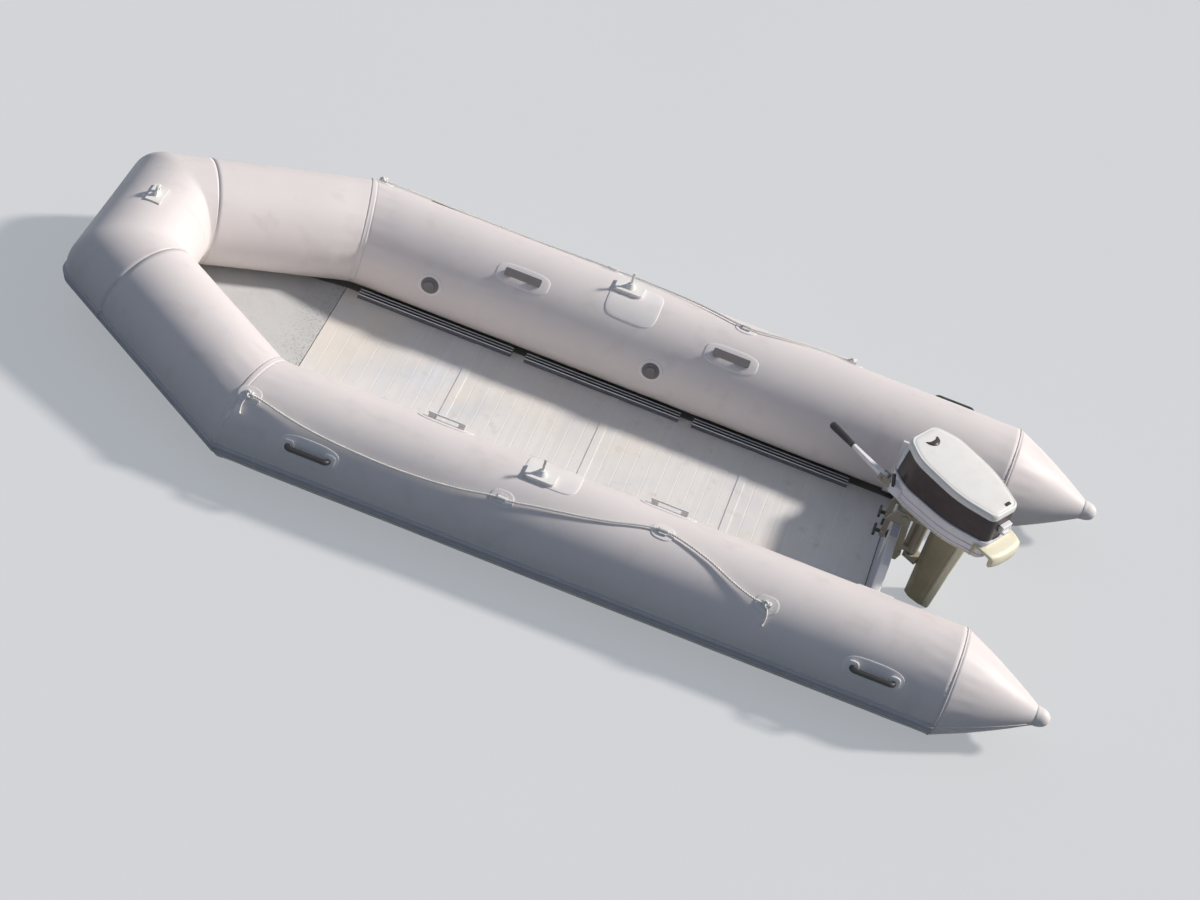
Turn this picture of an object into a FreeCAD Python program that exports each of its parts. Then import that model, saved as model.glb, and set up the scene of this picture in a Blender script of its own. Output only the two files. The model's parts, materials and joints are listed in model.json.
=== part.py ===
"""Inflatable boat with an outboard motor, in millimetres.

+X is the bow, +Y port and +Z up; the origin is amidships on the waterline.
"""
import FreeCAD
import Part
import math
import os
import re
import Sketcher

V = FreeCAD.Vector
X_AXIS = V(1, 0, 0)
Y_AXIS = V(0, 1, 0)
Z_AXIS = V(0, 0, 1)
SIDES = (("port", 1), ("starboard", -1))

doc = FreeCAD.newDocument("inflatable_boat")
sheet = doc.addObject("Spreadsheet::Sheet", "Sizes")

# alias, value (mm, or degrees for an angle), what it measures
SIZES = (
    ("boat_length", 4320, "bow face to the stern cones' tips"),
    ("beam", 1750, "over the side tubes"),
    ("tube_radius", 225, "inflated tube"),
    ("tube_height", 185, "side tubes' axis above the waterline"),
    ("cone_length", 425, "stern cone with its cap"),
    ("cone_crown", 9, "how far the cone's side bulges"),
    ("cap_length", 52, "moulded cap on the cone"),
    ("cap_radius", 36, "cap's rim"),
    ("quarter_start", 1210, "where the side tubes turn inward"),
    ("bow_rise", 85, "bow tube's axis above the side tubes' axis"),
    ("bow_width", 458, "between the bow tube's corners"),
    ("bow_bend", 262, "corner bend, at the tube's axis"),
    ("strake_angle", -16, "rub strake's middle, below the tube's axis"),
    ("strake_width", 62, "rub strake, across"),
    ("strake_base", 4, "rub strake's web"),
    ("rib_radius", 10, "rub strake's two ribs"),
    ("keel_depth", 122, "keel below the waterline, amidships"),
    ("stern_depth", 58, "keel below the waterline, at the transom"),
    ("bilge_height", -36, "bottom fabric's edge on the side tubes"),
    ("keel_front", 1500, "where the keel line starts to rise"),
    ("keel_strip", 46, "keel strake's width"),
    ("keel_strip_thick", 6, "keel strake's thickness"),
    ("floor_top", -14, "floor's top, against the waterline"),
    ("floor_thick", 14, "floor panel"),
    ("floor_half", 492, "half the floor's width"),
    ("floor_gap", 3, "between panels and their neighbours"),
    ("floor_front", 1180, "front edge of the first panel"),
    ("slat_pitch", 82, "floor grooves"),
    ("slat_groove", 5, "floor groove's width"),
    ("groove_depth", 2, "floor groove's depth"),
    ("joint_width", 34, "cross joint bar"),
    ("joint_thick", 3, "cross joint bar"),
    ("stringer_width", 40, "side stringer"),
    ("stringer_rise", 24, "side stringer above the floor"),
    ("stringer_wall", 3, "side stringer's metal"),
    ("stringer_back", -1130, "aft end of the stringers"),
    ("stringer_front", 1120, "front end of the stringers"),
    ("stringer_break", 60, "gap between stringer lengths"),
    ("board_front", 1790, "front end of the bow board"),
    ("transom_face", -1335, "transom's front face"),
    ("transom_thick", 32, "transom board"),
    ("transom_top", 345, "transom above the waterline"),
    ("transom_shoulder", 330, "half the width of the transom's full height"),
    ("holder_thick", 8, "moulded transom holder"),
    ("holder_width", 150, "transom holder along the tube"),
    ("clamp_pad_width", 300, "pad under the clamps"),
    ("clamp_pad_height", 150, "pad under the clamps"),
    ("pad_thick", 4, "pad under the clamps"),
    ("bung_radius", 24, "drain bung's flange"),
    ("patch_thick", 2.5, "fabric patch"),
    ("rope_radius", 5, "lifeline"),
    ("rope_lift", 4, "lifeline's surface above the tube"),
    ("eye_length", 34, "lifeline eye"),
    ("eye_wall", 4, "lifeline eye"),
    ("handle_length", 170, "grab handle between its feet"),
    ("handle_stand", 34, "grab handle's bar above the tube"),
    ("bar_radius", 11, "grab handle's bar"),
    ("flat_length", 162, "flat grab handle"),
    ("flat_width", 34, "flat grab handle"),
    ("flat_gap", 15, "finger room under the flat handle"),
    ("flat_thick", 6, "flat handle's strap"),
    ("flat_foot", 28, "flat handle's foot, along the tube"),
    ("valve_radius", 34, "inflation valve's flange"),
    ("valve_rise", 6, "valve's flange above the tube"),
    ("valve_cap_rise", 9, "valve's cap above its flange"),
    ("oarlock_length", 124, "oarlock's base along the tube"),
    ("oarlock_width", 80, "oarlock's base across the tube"),
    ("oarlock_rise", 14, "oarlock's base above the tube's crown"),
    ("boss_rise", 16, "oarlock's boss above its base"),
    ("boss_radius", 24, "oarlock's boss at its foot"),
    ("collar_rise", 6, "collar above the oarlock's boss"),
    ("collar_radius", 12, "collar round the oarlock's pin"),
    ("oarlock_pin", 6, "oarlock pin's radius"),
    ("oarlock_reach", 56, "oarlock pin above its collar"),
    ("tow_plate_length", 64, "bow tow eye's plate, fore and aft"),
    ("tow_plate_width", 110, "bow tow eye's plate, across"),
    ("tow_plate_rise", 6, "bow tow eye's plate above the tube's crown"),
    ("tow_lug_radius", 22, "bow tow eye's lug"),
    ("tow_lug_thick", 10, "bow tow eye's lug"),
    ("tow_eye_rise", 28, "bow tow eye's hole above the tube's crown"),
    ("tow_eye_bore", 9, "bow tow eye's hole, radius"),
    ("tilt_above", 40, "tilt axis above the transom"),
    ("tilt_behind", 5, "tilt axis behind the transom"),
    ("tilt_pin", 11, "tilt tube's radius"),
    ("steer_behind", 80, "steering axis behind the tilt axis"),
    ("steer_pin", 14, "steering shaft's radius"),
    ("running_gap", 0.06, "radial clearance of a running fit"),
    ("rest_yaw", -30, "how far the motor is steered in the photo"),
    ("tiller_rise", 5, "how far the tiller points up at rest"),
    ("clamp_gap", 52, "inner face of a clamp plate from the middle"),
    ("clamp_plate", 12, "clamp plate"),
    ("clamp_crown", 24, "clamp plate's top above the tilt axis"),
    ("clamp_neck", 30, "clamp plate's back behind the tilt axis"),
    ("clamp_heel", 42, "clamp plate's heel behind the tilt axis"),
    ("clamp_drop", 225, "clamp plate's foot below the tilt axis"),
    ("hook_gap", 9, "hook's back ahead of the clamp pad"),
    ("hook_reach", 36, "hook's front ahead of the transom"),
    ("hook_drop", 135, "hook's end below the tilt axis"),
    ("screw_drop", 115, "clamp screw below the tilt axis"),
    ("screw_radius", 8, "clamp screw"),
    ("screw_play", 0.3, "round the clamp screw in its boss"),
    ("screw_boss", 17, "boss round the clamp screw, radius"),
    ("screw_length", 60, "clamp screw with its shoe"),
    ("screw_shoe", 5, "clamp screw's shoe, thickness"),
    ("bar_length", 68, "clamp screw's bar"),
    ("bar_half", 6, "clamp screw's bar, radius"),
    ("web_back", 8, "web between the clamp plates, behind the tilt axis"),
    ("web_height", 120, "web between the clamp plates"),
    ("web_foot", 215, "web's foot below the tilt axis"),
    ("rod_radius", 6, "thrust rod"),
    ("rod_behind", 32, "thrust rod behind the tilt axis"),
    ("rod_drop", 184, "thrust rod below the tilt axis"),
    ("swivel_top", 24, "top of the swivel tube, above the tilt axis"),
    ("swivel_bottom", 198, "bottom of the swivel tube, below the tilt axis"),
    ("swivel_wall", 12, "swivel tube's wall"),
    ("swivel_side", 1, "between the swivel's ears and the clamp plates"),
    ("swivel_ear", 11, "swivel's ears round the tilt tube"),
    ("swivel_arm", 24, "swivel's arms, height"),
    ("swivel_slot", 18, "each of the swivel's two arms, width"),
    ("thrust_gap", 0.5, "thrust block off its rod"),
    ("thrust_width", 44, "thrust block"),
    ("thrust_height", 26, "thrust block"),
    ("pan_bottom", 58, "bottom of the motor's pan, above the tilt axis"),
    ("pan_top", 112, "where the lower cowl starts"),
    ("cowl_split", 172, "where the band starts"),
    ("band_top", 242, "where the top cover starts"),
    ("cowl_top", 322, "crown of the top cover"),
    ("cowl_wall", 4, "cowl's moulding"),
    ("cowl_front", 166, "cowl ahead of the steering axis"),
    ("cowl_back", 330, "cowl behind the steering axis"),
    ("cowl_half", 138, "half the cowl's width"),
    ("powerhead_length", 300, "engine"),
    ("powerhead_width", 150, "engine"),
    ("powerhead_height", 205, "engine"),
    ("powerhead_front", 80, "engine ahead of the steering axis"),
    ("leg_front", 48, "leg's front behind the steering axis"),
    ("yoke_length", 66, "steering yokes, fore and aft"),
    ("yoke_height", 26, "lower steering yoke"),
    ("plate_depth", 470, "anti-ventilation plate below the tilt axis"),
    ("vent_thick", 6, "anti-ventilation plate"),
    ("vent_half", 78, "half the anti-ventilation plate's width"),
    ("vent_back", 300, "anti-ventilation plate behind the steering axis"),
    ("skeg_depth", 134, "skeg below the propeller's axis"),
    ("skeg_thick", 7, "skeg"),
    ("shaft_depth", 612, "propeller's axis below the tilt axis"),
    ("torpedo_radius", 42, "gearcase's torpedo"),
    ("shaft_radius", 9, "propeller shaft"),
    ("blade_reach", 112, "propeller's radius"),
    ("hub_radius", 29, "propeller's hub"),
    ("hub_length", 74, "propeller's hub"),
    ("hub_front", 272, "hub's front behind the steering axis"),
    ("carry_reach", 62, "carry handle's bar behind the cowl"),
    ("carry_half", 52, "half the carry handle's width"),
    ("carry_radius", 9, "carry handle's bar"),
    ("starter_radius", 8, "starter's grip"),
    ("starter_length", 60, "starter's grip, across"),
    ("starter_side", 32, "starter's grip to starboard of the middle"),
    ("starter_rise", 30, "starter's grip above the pan"),
    ("tiller_pivot", 206, "tiller's pin ahead of the steering axis"),
    ("tiller_side", 84, "tiller to port of the steering axis"),
    ("tiller_height", 90, "tiller's pin above the tilt axis"),
    ("tiller_reach", 314, "tiller from its pin to the grip's end"),
    ("knuckle_width", 25, "tiller's knuckle on its pin"),
    ("knuckle_radius", 13, "tiller's knuckle"),
    ("cheek_gap", 0.5, "between the tiller's knuckle and a cheek"),
    ("cheek_thick", 8, "tiller bracket's cheek"),
    ("cheek_height", 30, "tiller bracket's cheek"),
    ("cheek_nose", 14, "tiller bracket's cheek ahead of the pin"),
    ("bracket_root", 120, "tiller bracket's back ahead of the steering axis"),
    ("bracket_block", 60, "tiller bracket's solid root"),
    ("grip_length", 132, "tiller's grip"),
    ("grip_radius", 16, "tiller's grip"),
    ("tiller_pin", 6, "tiller pin's radius"),
)
for row, (alias, number, note) in enumerate(SIZES, 1):
    sheet.set(f"A{row}", note)
    sheet.set(f"B{row}", str(number))
    sheet.setAlias(f"B{row}", alias)
doc.recompute()

nodes = []


def bound(text):
    """The expression with each size's alias looked up in the sheet."""
    return re.sub(r"\b([a-z][a-z_]+)\b(?!\()", r"Sizes.\1", text)


def num(text):
    """The expression's value now."""
    return float(sheet.evalExpression(bound(text)))


def node(thing, label):
    """Keep an object as a piece of the boat."""
    thing.Label = label
    nodes.append(thing)
    return thing


def placed(thing, at, turn=None):
    """Bind an object's place to the sheet, with a fixed turn."""
    if turn is not None:
        thing.Placement = FreeCAD.Placement(V(0, 0, 0), turn)
    for axis, text in zip("xyz", at):
        thing.setExpression(f"Placement.Base.{axis}", bound(text))
    return thing


def primitive(kind, at=("0", "0", "0"), turn=None, **dims):
    """A Part primitive whose sizes and place are bound to the sheet."""
    thing = doc.addObject("Part::" + kind, kind.lower())
    for key, text in dims.items():
        thing.setExpression(key, bound(text))
    return placed(thing, at, turn)


def joined(*things):
    """Several objects as one."""
    union = doc.addObject("Part::MultiFuse", "union")
    union.Shapes = list(things)
    union.Refine = True
    return union


def less(base, *tools):
    """An object with others cut out of it."""
    result = doc.addObject("Part::Cut", "cut")
    result.Base = base
    result.Tool = tools[0] if len(tools) == 1 else joined(*tools)
    result.Refine = True
    return result


def feature(shape, label=None, placement=None):
    """A shape made with Part's own functions."""
    thing = doc.addObject("Part::Feature", "feature")
    thing.Shape = shape
    if placement is not None:
        thing.Placement = placement
    return node(thing, label) if label else thing


def drawn(body, plane, outline):
    """A closed sketch in a body; a point with a third pair ends an arc through that pair."""
    sketch = body.newObject("Sketcher::SketchObject", "outline")
    face = [f for f in body.Origin.OriginFeatures if f.Role == plane + "_Plane"][0]
    sketch.AttachmentSupport = [(face, "")]
    sketch.MapMode = "FlatFace"
    spots = [V(num(point[0]), num(point[1]), 0) for point in outline]
    count = len(outline)
    for i, point in enumerate(outline):
        start = spots[i - 1]
        if len(point) > 2:
            through = V(num(point[2]), num(point[3]), 0)
            sketch.addGeometry(Part.Arc(start, through, spots[i]))
        else:
            sketch.addGeometry(Part.LineSegment(start, spots[i]))
    for i in range(count):
        if len(outline[i]) == 2 and len(outline[(i + 1) % count]) == 2:
            sketch.addConstraint(Sketcher.Constraint("Coincident", i, 2, (i + 1) % count, 1))
    for i, point in enumerate(outline):
        if len(point) > 2 or len(outline[(i + 1) % count]) > 2:
            continue
        for kind, text, at in (("DistanceX", point[0], spots[i].x), ("DistanceY", point[1], spots[i].y)):
            which = sketch.addConstraint(Sketcher.Constraint(kind, -1, 1, i, 2, at))
            sketch.setExpression(f"Constraints[{which}]", bound(text))
    return sketch


def padded(plane, outline, depth, at=("0", "0", "0"), turn=None, both=False):
    """A body padded from a sketch along the plane's normal."""
    body = doc.addObject("PartDesign::Body", "body")
    pad = body.newObject("PartDesign::Pad", "pad")
    pad.Profile = drawn(body, plane, outline)
    if both:
        pad.SideType = "Symmetric"
    pad.setExpression("Length", bound(depth))
    return placed(body, at, turn)


def turned(outline, at=("0", "0", "0"), turn=None):
    """A body of revolution about its X axis; the outline gives X and radius."""
    body = doc.addObject("PartDesign::Body", "body")
    spin = body.newObject("PartDesign::Revolution", "revolution")
    sketch = drawn(body, "XY", outline)
    spin.Profile = sketch
    spin.ReferenceAxis = (sketch, ["H_Axis"])
    spin.Angle = 360
    return placed(body, at, turn)


def rounded(points, closed=False):
    """A wire through points (x, y, z, radius), each corner a tangent arc of its radius."""
    spots = [V(*p[:3]) for p in points]
    count = len(spots)
    edges = []
    last = None
    first = None
    for i, spot in enumerate(spots):
        if not closed and i in (0, count - 1):
            start = end = spot
            middle = None
        else:
            before = (spots[i - 1] - spot).normalize()
            after = (spots[(i + 1) % count] - spot).normalize()
            half = before.getAngle(after) / 2
            reach = points[i][3] / math.tan(half)
            bisector = (before + after).normalize()
            start = spot + before * reach
            end = spot + after * reach
            middle = spot + bisector * (points[i][3] / math.sin(half) - points[i][3])
        if last is not None and last.distanceToPoint(start) > 1e-6:
            edges.append(Part.LineSegment(last, start).toShape())
        if middle is not None:
            edges.append(Part.Arc(start, middle, end).toShape())
        if first is None:
            first = start
        last = end
    if closed and last.distanceToPoint(first) > 1e-6:
        edges.append(Part.LineSegment(last, first).toShape())
    return Part.Wire(edges)


def piped(points, radius):
    """A round bar along points (x, y, z, bend radius)."""
    path = rounded(points)
    start = V(*points[0][:3])
    along = V(*points[1][:3]) - start
    ring = Part.Wire([Part.Circle(start, along, radius).toShape()])
    return path.makePipeShell([ring], True, False)


def half_space(at, facing):
    """A large box on the facing side of a plane."""
    reach = num("boat_length")
    box = Part.makeBox(reach, reach, reach, V(-reach / 2, -reach / 2, 0))
    box.Placement = FreeCAD.Placement(at, FreeCAD.Rotation(Z_AXIS, facing)).multiply(box.Placement)
    return box


TUBE_Y = "(beam / 2 - tube_radius)"
BOW_X = "(boat_length / 2 - tube_radius)"
CONE_X = "(-boat_length / 2 + cone_length)"
TILT = ("(transom_face - transom_thick - tilt_behind)", "0", "(transom_top + tilt_above)")
STEER = ("(transom_face - transom_thick - tilt_behind - steer_behind)", "0", "(transom_top + tilt_above)")

tube_r = num("tube_radius")
tube_y = num(TUBE_Y)
tube_z = num("tube_height")


# Hull tubes: each side runs along the seam point, the bow's corner and the bow's middle.
def seam(side):
    return V(num("quarter_start"), side * tube_y, tube_z)


def corner(side):
    return V(num(BOW_X), side * num("bow_width / 2"), tube_z + num("bow_rise"))


def quarter_frame(side):
    """Directions on a quarter tube: along it to the bow, outward, and up."""
    along = (corner(side) - seam(side)).normalize()
    across = V(0, -side, 0)
    up = across.cross(along) * side
    up.normalize()
    outward = up.cross(along) * side
    return along, outward, up


def bend_start(side):
    """Where the quarter tube ends and the bow tube's corner bend starts."""
    along = quarter_frame(side)[0]
    turn = along.getAngle(V(0, -side, 0))
    return corner(side) - along * (num("bow_bend") * math.tan(turn / 2))


def mitre(side):
    """Normal of the plane where side tube and quarter tube meet, facing the bow."""
    return (quarter_frame(side)[0] + X_AXIS).normalize()


def bow_ring(section):
    """Sweep a face, drawn at the bow's middle, round the bow tube's corner to its bend start."""
    pieces = []
    side = 1
    along = quarter_frame(side)[0]
    turn = along.getAngle(V(0, -side, 0))
    straight = num("bow_width / 2") - num("bow_bend") * math.tan(turn / 2)
    pieces.append(section.extrude(V(0, straight, 0)))
    moved = section.copy()
    moved.translate(V(0, straight, 0))
    up = quarter_frame(side)[2]
    inward = V(0, -1, 0).cross(up).normalize()
    if inward.x > 0:
        inward = inward * -1
    centre = V(corner(side).x, straight, corner(side).z) + inward * num("bow_bend")
    pieces.append(moved.revolve(centre, up, math.degrees(turn)))
    half = pieces[0].fuse(pieces[1])
    whole = half.fuse(half.mirror(V(0, 0, 0), Y_AXIS))
    return whole.removeSplitter().Solids[0]


def along_quarter(section_at_bend, side):
    """Push a face, drawn at the bend start, aft to the mitre plane."""
    along = quarter_frame(side)[0]
    length = bend_start(side).distanceToPoint(seam(side)) + tube_r
    bar = section_at_bend.extrude(along * -length)
    return bar.cut(half_space(seam(side), mitre(side) * -1))


def along_side(section, side):
    """Push a face, drawn at the stern cone's base, forward to the mitre plane."""
    bar = section.extrude(V(num("quarter_start") - num(CONE_X) + tube_r, 0, 0))
    return bar.cut(half_space(seam(side), mitre(side)))


def disc(at, normal):
    return Part.Face(Part.Wire([Part.Circle(at, normal, tube_r).toShape()]))


bow_middle = V(num(BOW_X), 0, tube_z + num("bow_rise"))
bow_shape = bow_ring(disc(bow_middle, Y_AXIS))
feature(bow_shape, "bow_tube")
for name, side in SIDES:
    along = quarter_frame(side)[0]
    feature(along_quarter(disc(bend_start(side), along), side), "quarter_tube_" + name)
    base = V(num(CONE_X), side * tube_y, tube_z)
    feature(along_side(disc(base, X_AXIS), side), "side_tube_" + name)

# Stern cones: a slightly crowned fabric cone, closed by a moulded cap
CAP_X = "(-boat_length / 2 + cap_length)"
for name, side in SIDES:
    middle_x = f"({CONE_X} + {CAP_X}) / 2 - cone_crown / 2"
    middle_r = "(tube_radius + cap_radius) / 2 + cone_crown"
    cone = turned((
        (CAP_X, "0"),
        (CAP_X, "cap_radius"),
        (CONE_X, "tube_radius", middle_x, middle_r),
        (CONE_X, "0"),
    ), at=("0", f"{side} * {TUBE_Y}", "tube_height"))
    node(cone, "cone_" + name)
caps = []
for name, side in SIDES:
    tip = "(-boat_length / 2)"
    cap = turned((
        (tip, "0"),
        (tip, "cap_radius * 0.5"),
        (f"{tip} + cap_length * 0.3", "cap_radius * 0.86", f"{tip} + cap_length * 0.1", "cap_radius * 0.75"),
        (CAP_X, "cap_radius"),
        (CAP_X, "0"),
    ), at=("0", f"{side} * {TUBE_Y}", "tube_height"))
    caps.append(cap)
node(joined(*caps), "cone_caps")


# Rub strake: a web with two round ribs, low on the outer side
def strake_section(centre, outward, up, angle):
    """The strake's section on a tube's circle, its middle at an angle above the outward side."""
    spread = math.degrees(num("strake_width") / 2 / tube_r)
    middle = math.radians(angle)

    def spot(turn, radius):
        a = middle + math.radians(turn)
        return centre + outward * (radius * math.cos(a)) + up * (radius * math.sin(a))

    outer = tube_r + num("strake_base")
    crest = outer + num("rib_radius")
    foot = math.degrees(num("rib_radius") / outer)
    stops = [spread]
    for rib in (spread / 2, -spread / 2):
        stops += [rib + foot, rib - foot]
    stops.append(-spread)
    edges = [
        Part.Arc(spot(-spread, tube_r), spot(0, tube_r), spot(spread, tube_r)).toShape(),
        Part.LineSegment(spot(spread, tube_r), spot(spread, outer)).toShape(),
    ]
    for i, (high, low) in enumerate(zip(stops, stops[1:])):
        through = crest if i % 2 else outer
        edges.append(Part.Arc(spot(high, outer), spot((high + low) / 2, through), spot(low, outer)).toShape())
    edges.append(Part.LineSegment(spot(-spread, outer), spot(-spread, tube_r)).toShape())
    return Part.Face(Part.Wire(edges))


def strake_angle_on_quarter(side):
    """The angle on the quarter tube where the side tube's strake meets the mitre plane."""
    a = math.radians(num("strake_angle"))
    on_side = seam(side) + V(0, side * tube_r * math.cos(a), tube_r * math.sin(a))
    normal = mitre(side)
    on_plane = on_side + X_AXIS * ((seam(side) - on_side).dot(normal) / normal.x)
    along, outward, up = quarter_frame(side)
    gap = on_plane - seam(side)
    return math.degrees(math.atan2(gap.dot(up), gap.dot(outward)))


bow_angle = strake_angle_on_quarter(1)
bow_up = quarter_frame(1)[2]
bow_out = V(0, 1, 0).cross(bow_up)
bow_out = bow_out if bow_out.x > 0 else bow_out * -1
strakes = [bow_ring(strake_section(bow_middle, bow_out, bow_up, bow_angle))]
for name, side in SIDES:
    along, outward, up = quarter_frame(side)
    strakes.append(along_quarter(strake_section(bend_start(side), outward, up, bow_angle), side))
feature(strakes[0].fuse(strakes[1:]).removeSplitter(), "rub_strake_bow")
for name, side in SIDES:
    base = V(num(CONE_X), side * tube_y, tube_z)
    section = strake_section(base, V(0, side, 0), Z_AXIS, num("strake_angle"))
    feature(along_side(section, side), "rub_strake_" + name)

# Fabric bottom: a V that deepens from the transom and runs up under the bow
tubes = [n.Shape for n in nodes if n.Label.startswith(("side_tube", "quarter_tube", "bow_tube"))]
all_tubes = tubes[0].fuse(tubes[1:])
floor_under = num("floor_top - floor_thick") - 0.3
slope = num("bow_rise") / (num(BOW_X) - num("quarter_start"))


def lift(x):
    """How far the bow's plane has risen above the floor's at X."""
    return max(0.0, (x - num("floor_front + floor_gap")) * slope)


# X, half-width and the keel's height
BOTTOM = (
    (num("transom_face"), tube_y, -num("stern_depth")),
    (0.0, tube_y, -num("keel_depth")),
    (num("floor_front + floor_gap"), tube_y, -num("keel_depth") * 0.94),
    (num("keel_front") + 160, tube_y * 0.6, -num("keel_depth") * 0.38),
    (num(BOW_X) - 40, tube_y * 0.38, 26),
)


def bottom_section(x, half, keel):
    edge = num("bilge_height") + lift(x)
    top = floor_under + lift(x)
    corners = [V(x, -half, edge), V(x, 0, keel), V(x, half, edge), V(x, half, top), V(x, -half, top)]
    return Part.Wire(Part.makePolygon(corners + corners[:1]))


bottom = Part.makeLoft([bottom_section(*row) for row in BOTTOM], True, True)
feature(bottom.cut(all_tubes).removeSplitter(), "hull_bottom")

# Keel strake: a moulded strip under the keel line
strip = num("keel_strip") / 2
strip_down = num("keel_strip_thick")
spans = []
for (x_a, _, keel_a), (x_b, _, keel_b) in zip(BOTTOM[:-2], BOTTOM[1:-1]):
    ends = []
    for x, keel in ((x_a, keel_a), (x_b, keel_b)):
        corners = [V(x, -strip, keel), V(x, strip, keel), V(x, strip * 0.6, keel - strip_down)]
        corners.append(V(x, -strip * 0.6, keel - strip_down))
        ends.append(Part.makePolygon(corners + corners[:1]))
    spans.append(Part.makeLoft([Part.Wire(w) for w in ends], True, True))
keel = spans[0].fuse(spans[1:]).cut(bottom)
feature(keel.removeSplitter(), "keel_strake")

# Floor: four grooved panels between the stringers, with cross joints over their seams
PANELS = 4
panel_length = f"((floor_front - transom_face - {PANELS} * floor_gap) / {PANELS})"
for i in range(PANELS):
    start = f"(transom_face + floor_gap + {i} * ({panel_length} + floor_gap))"
    panel = primitive("Box", (start, "-floor_half", "floor_top - floor_thick"),
                      Length=panel_length, Width="2 * floor_half", Height="floor_thick")
    grooves = []
    count = int(num(panel_length) / num("slat_pitch"))
    for k in range(1, count):
        grooves.append(primitive(
            "Box", (f"{start} + {k} * {panel_length} / {count}", "-floor_half", "floor_top - groove_depth"),
            Length="slat_groove", Width="2 * floor_half", Height="groove_depth"))
    node(less(panel, *grooves), f"floor_panel_{i + 1}")
bars = []
for i in range(1, PANELS):
    middle = f"(transom_face + {i} * ({panel_length} + floor_gap) + floor_gap / 2)"
    bars.append(primitive("Box", (f"{middle} - joint_width / 2", "-floor_half + stringer_width", "floor_top"),
                          Length="joint_width", Width="2 * floor_half - 2 * stringer_width", Height="joint_thick"))
node(joined(*bars), "floor_joints")

# Stringers: aluminium angles in three lengths, on each edge of the floor
LENGTHS = 3
piece_length = f"((stringer_front - stringer_back - {LENGTHS - 1} * stringer_break) / {LENGTHS})"
for name, side in SIDES:
    inner = "(floor_half - stringer_width)"
    near = inner if side > 0 else "(-floor_half)"
    lengths = []
    for i in range(LENGTHS):
        start = f"(stringer_back + {i} * ({piece_length} + stringer_break))"
        flange = primitive("Box", (start, near, "floor_top"),
                           Length=piece_length, Width="stringer_width", Height="stringer_wall")
        for place in ("0", "stringer_width / 2 - stringer_wall / 2", "stringer_width - stringer_wall"):
            web = primitive("Box", (start, f"{near} + {place}", "floor_top"),
                            Length=piece_length, Width="stringer_wall", Height="stringer_rise")
            lengths.append(web)
        lengths.append(flange)
    node(joined(*lengths), "stringer_" + name)

# Bow board: a plate that rises with the bow, between the quarter tubes
start = num("floor_front + floor_gap")
front = num("board_front")
narrow = tube_y - (front - num("quarter_start")) * (tube_y - num("bow_width / 2")) / (num(BOW_X) - num("quarter_start"))
plate = [V(start, -num("floor_half"), 0), V(front, -narrow, 0)]
plate += [V(spot.x, -spot.y, 0) for spot in plate[::-1]]
plate = [V(spot.x, spot.y, num("floor_top - floor_thick") + lift(spot.x)) for spot in plate]
board = Part.Face(Part.Wire(Part.makePolygon(plate + plate[:1]))).extrude(V(0, 0, num("floor_thick")))
grown = [Part.makeCylinder(tube_r + 4, 3000, V(-1500, s * tube_y, tube_z), X_AXIS) for s in (1, -1)]
for s in (1, -1):
    along = quarter_frame(s)[0]
    grown.append(Part.makeCylinder(tube_r + 4, 1400, seam(s) - along * 300, along))
feature(board.cut(grown[0].fuse(grown[1:])).removeSplitter(), "bow_board")

# Transom: a board between the tubes, held by moulded holders, with pads for the clamps
board = padded("YZ", (
    (f"-{TUBE_Y}", "bilge_height"),
    ("0", "-stern_depth"),
    (TUBE_Y, "bilge_height"),
    (TUBE_Y, "transom_top - 55"),
    ("transom_shoulder + 60", "transom_top - 55"),
    ("transom_shoulder", "transom_top"),
    ("-transom_shoulder", "transom_top"),
    ("-transom_shoulder - 60", "transom_top - 55"),
    (f"-{TUBE_Y}", "transom_top - 55"),
), "transom_thick", at=("transom_face - transom_thick", "0", "0"))
holders = []
cutters = []
for name, side in SIDES:
    at = ("transom_face - transom_thick / 2 - holder_width / 2", f"{side} * {TUBE_Y}", "tube_height")
    turn = FreeCAD.Rotation(Y_AXIS, 90)
    outer = primitive("Cylinder", at, turn, Radius="tube_radius + holder_thick", Height="holder_width")
    inner = primitive("Cylinder", at, turn, Radius="tube_radius", Height="holder_width")
    low = "0" if side < 0 else "-tube_radius - holder_thick"
    window = primitive("Box", ("transom_face - transom_thick / 2 - holder_width / 2",
                               f"{side} * {TUBE_Y} + {low}", "bilge_height + 12"),
                       Length="holder_width", Width="tube_radius + holder_thick",
                       Height="transom_top - bilge_height - 30")
    shell = less(outer, inner)
    piece = doc.addObject("Part::Common", "common")
    piece.Base = shell
    piece.Tool = window
    holders.append(piece)
    cutters.append(primitive("Cylinder", at, turn, Radius="tube_radius + holder_thick", Height="holder_width"))
node(less(board, *cutters), "transom_board")
node(joined(*holders), "transom_holders")
pads = []
for start in ("transom_face", "transom_face - transom_thick - pad_thick"):
    pads.append(primitive("Box", (start, "-clamp_pad_width / 2", "transom_top - clamp_pad_height"),
                          Length="pad_thick", Width="clamp_pad_width", Height="clamp_pad_height"))
node(joined(*pads), "clamp_pads")
bungs = []
for side in (1, -1):
    at = ("transom_face", f"{side} * (transom_shoulder - 40)", "floor_top + bung_radius + 14")
    turn = FreeCAD.Rotation(Y_AXIS, 90)
    flange = primitive("Cylinder", at, turn, Radius="bung_radius", Height="6")
    bungs.append(joined(flange, primitive("Cylinder", at, turn, Radius="bung_radius * 0.62", Height="20")))
node(joined(*bungs), "drain_bungs")


# What sits on the side tubes is placed by X and by its angle above the outward side.
# Its foot is drawn this deep into the tube, and the tube is then cut out of it.
SINK = 30


def tube_spot(side, x, angle, above=0.0):
    a = math.radians(angle)
    radius = tube_r + above
    return V(x, side * (tube_y + radius * math.cos(a)), tube_z + radius * math.sin(a))


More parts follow.
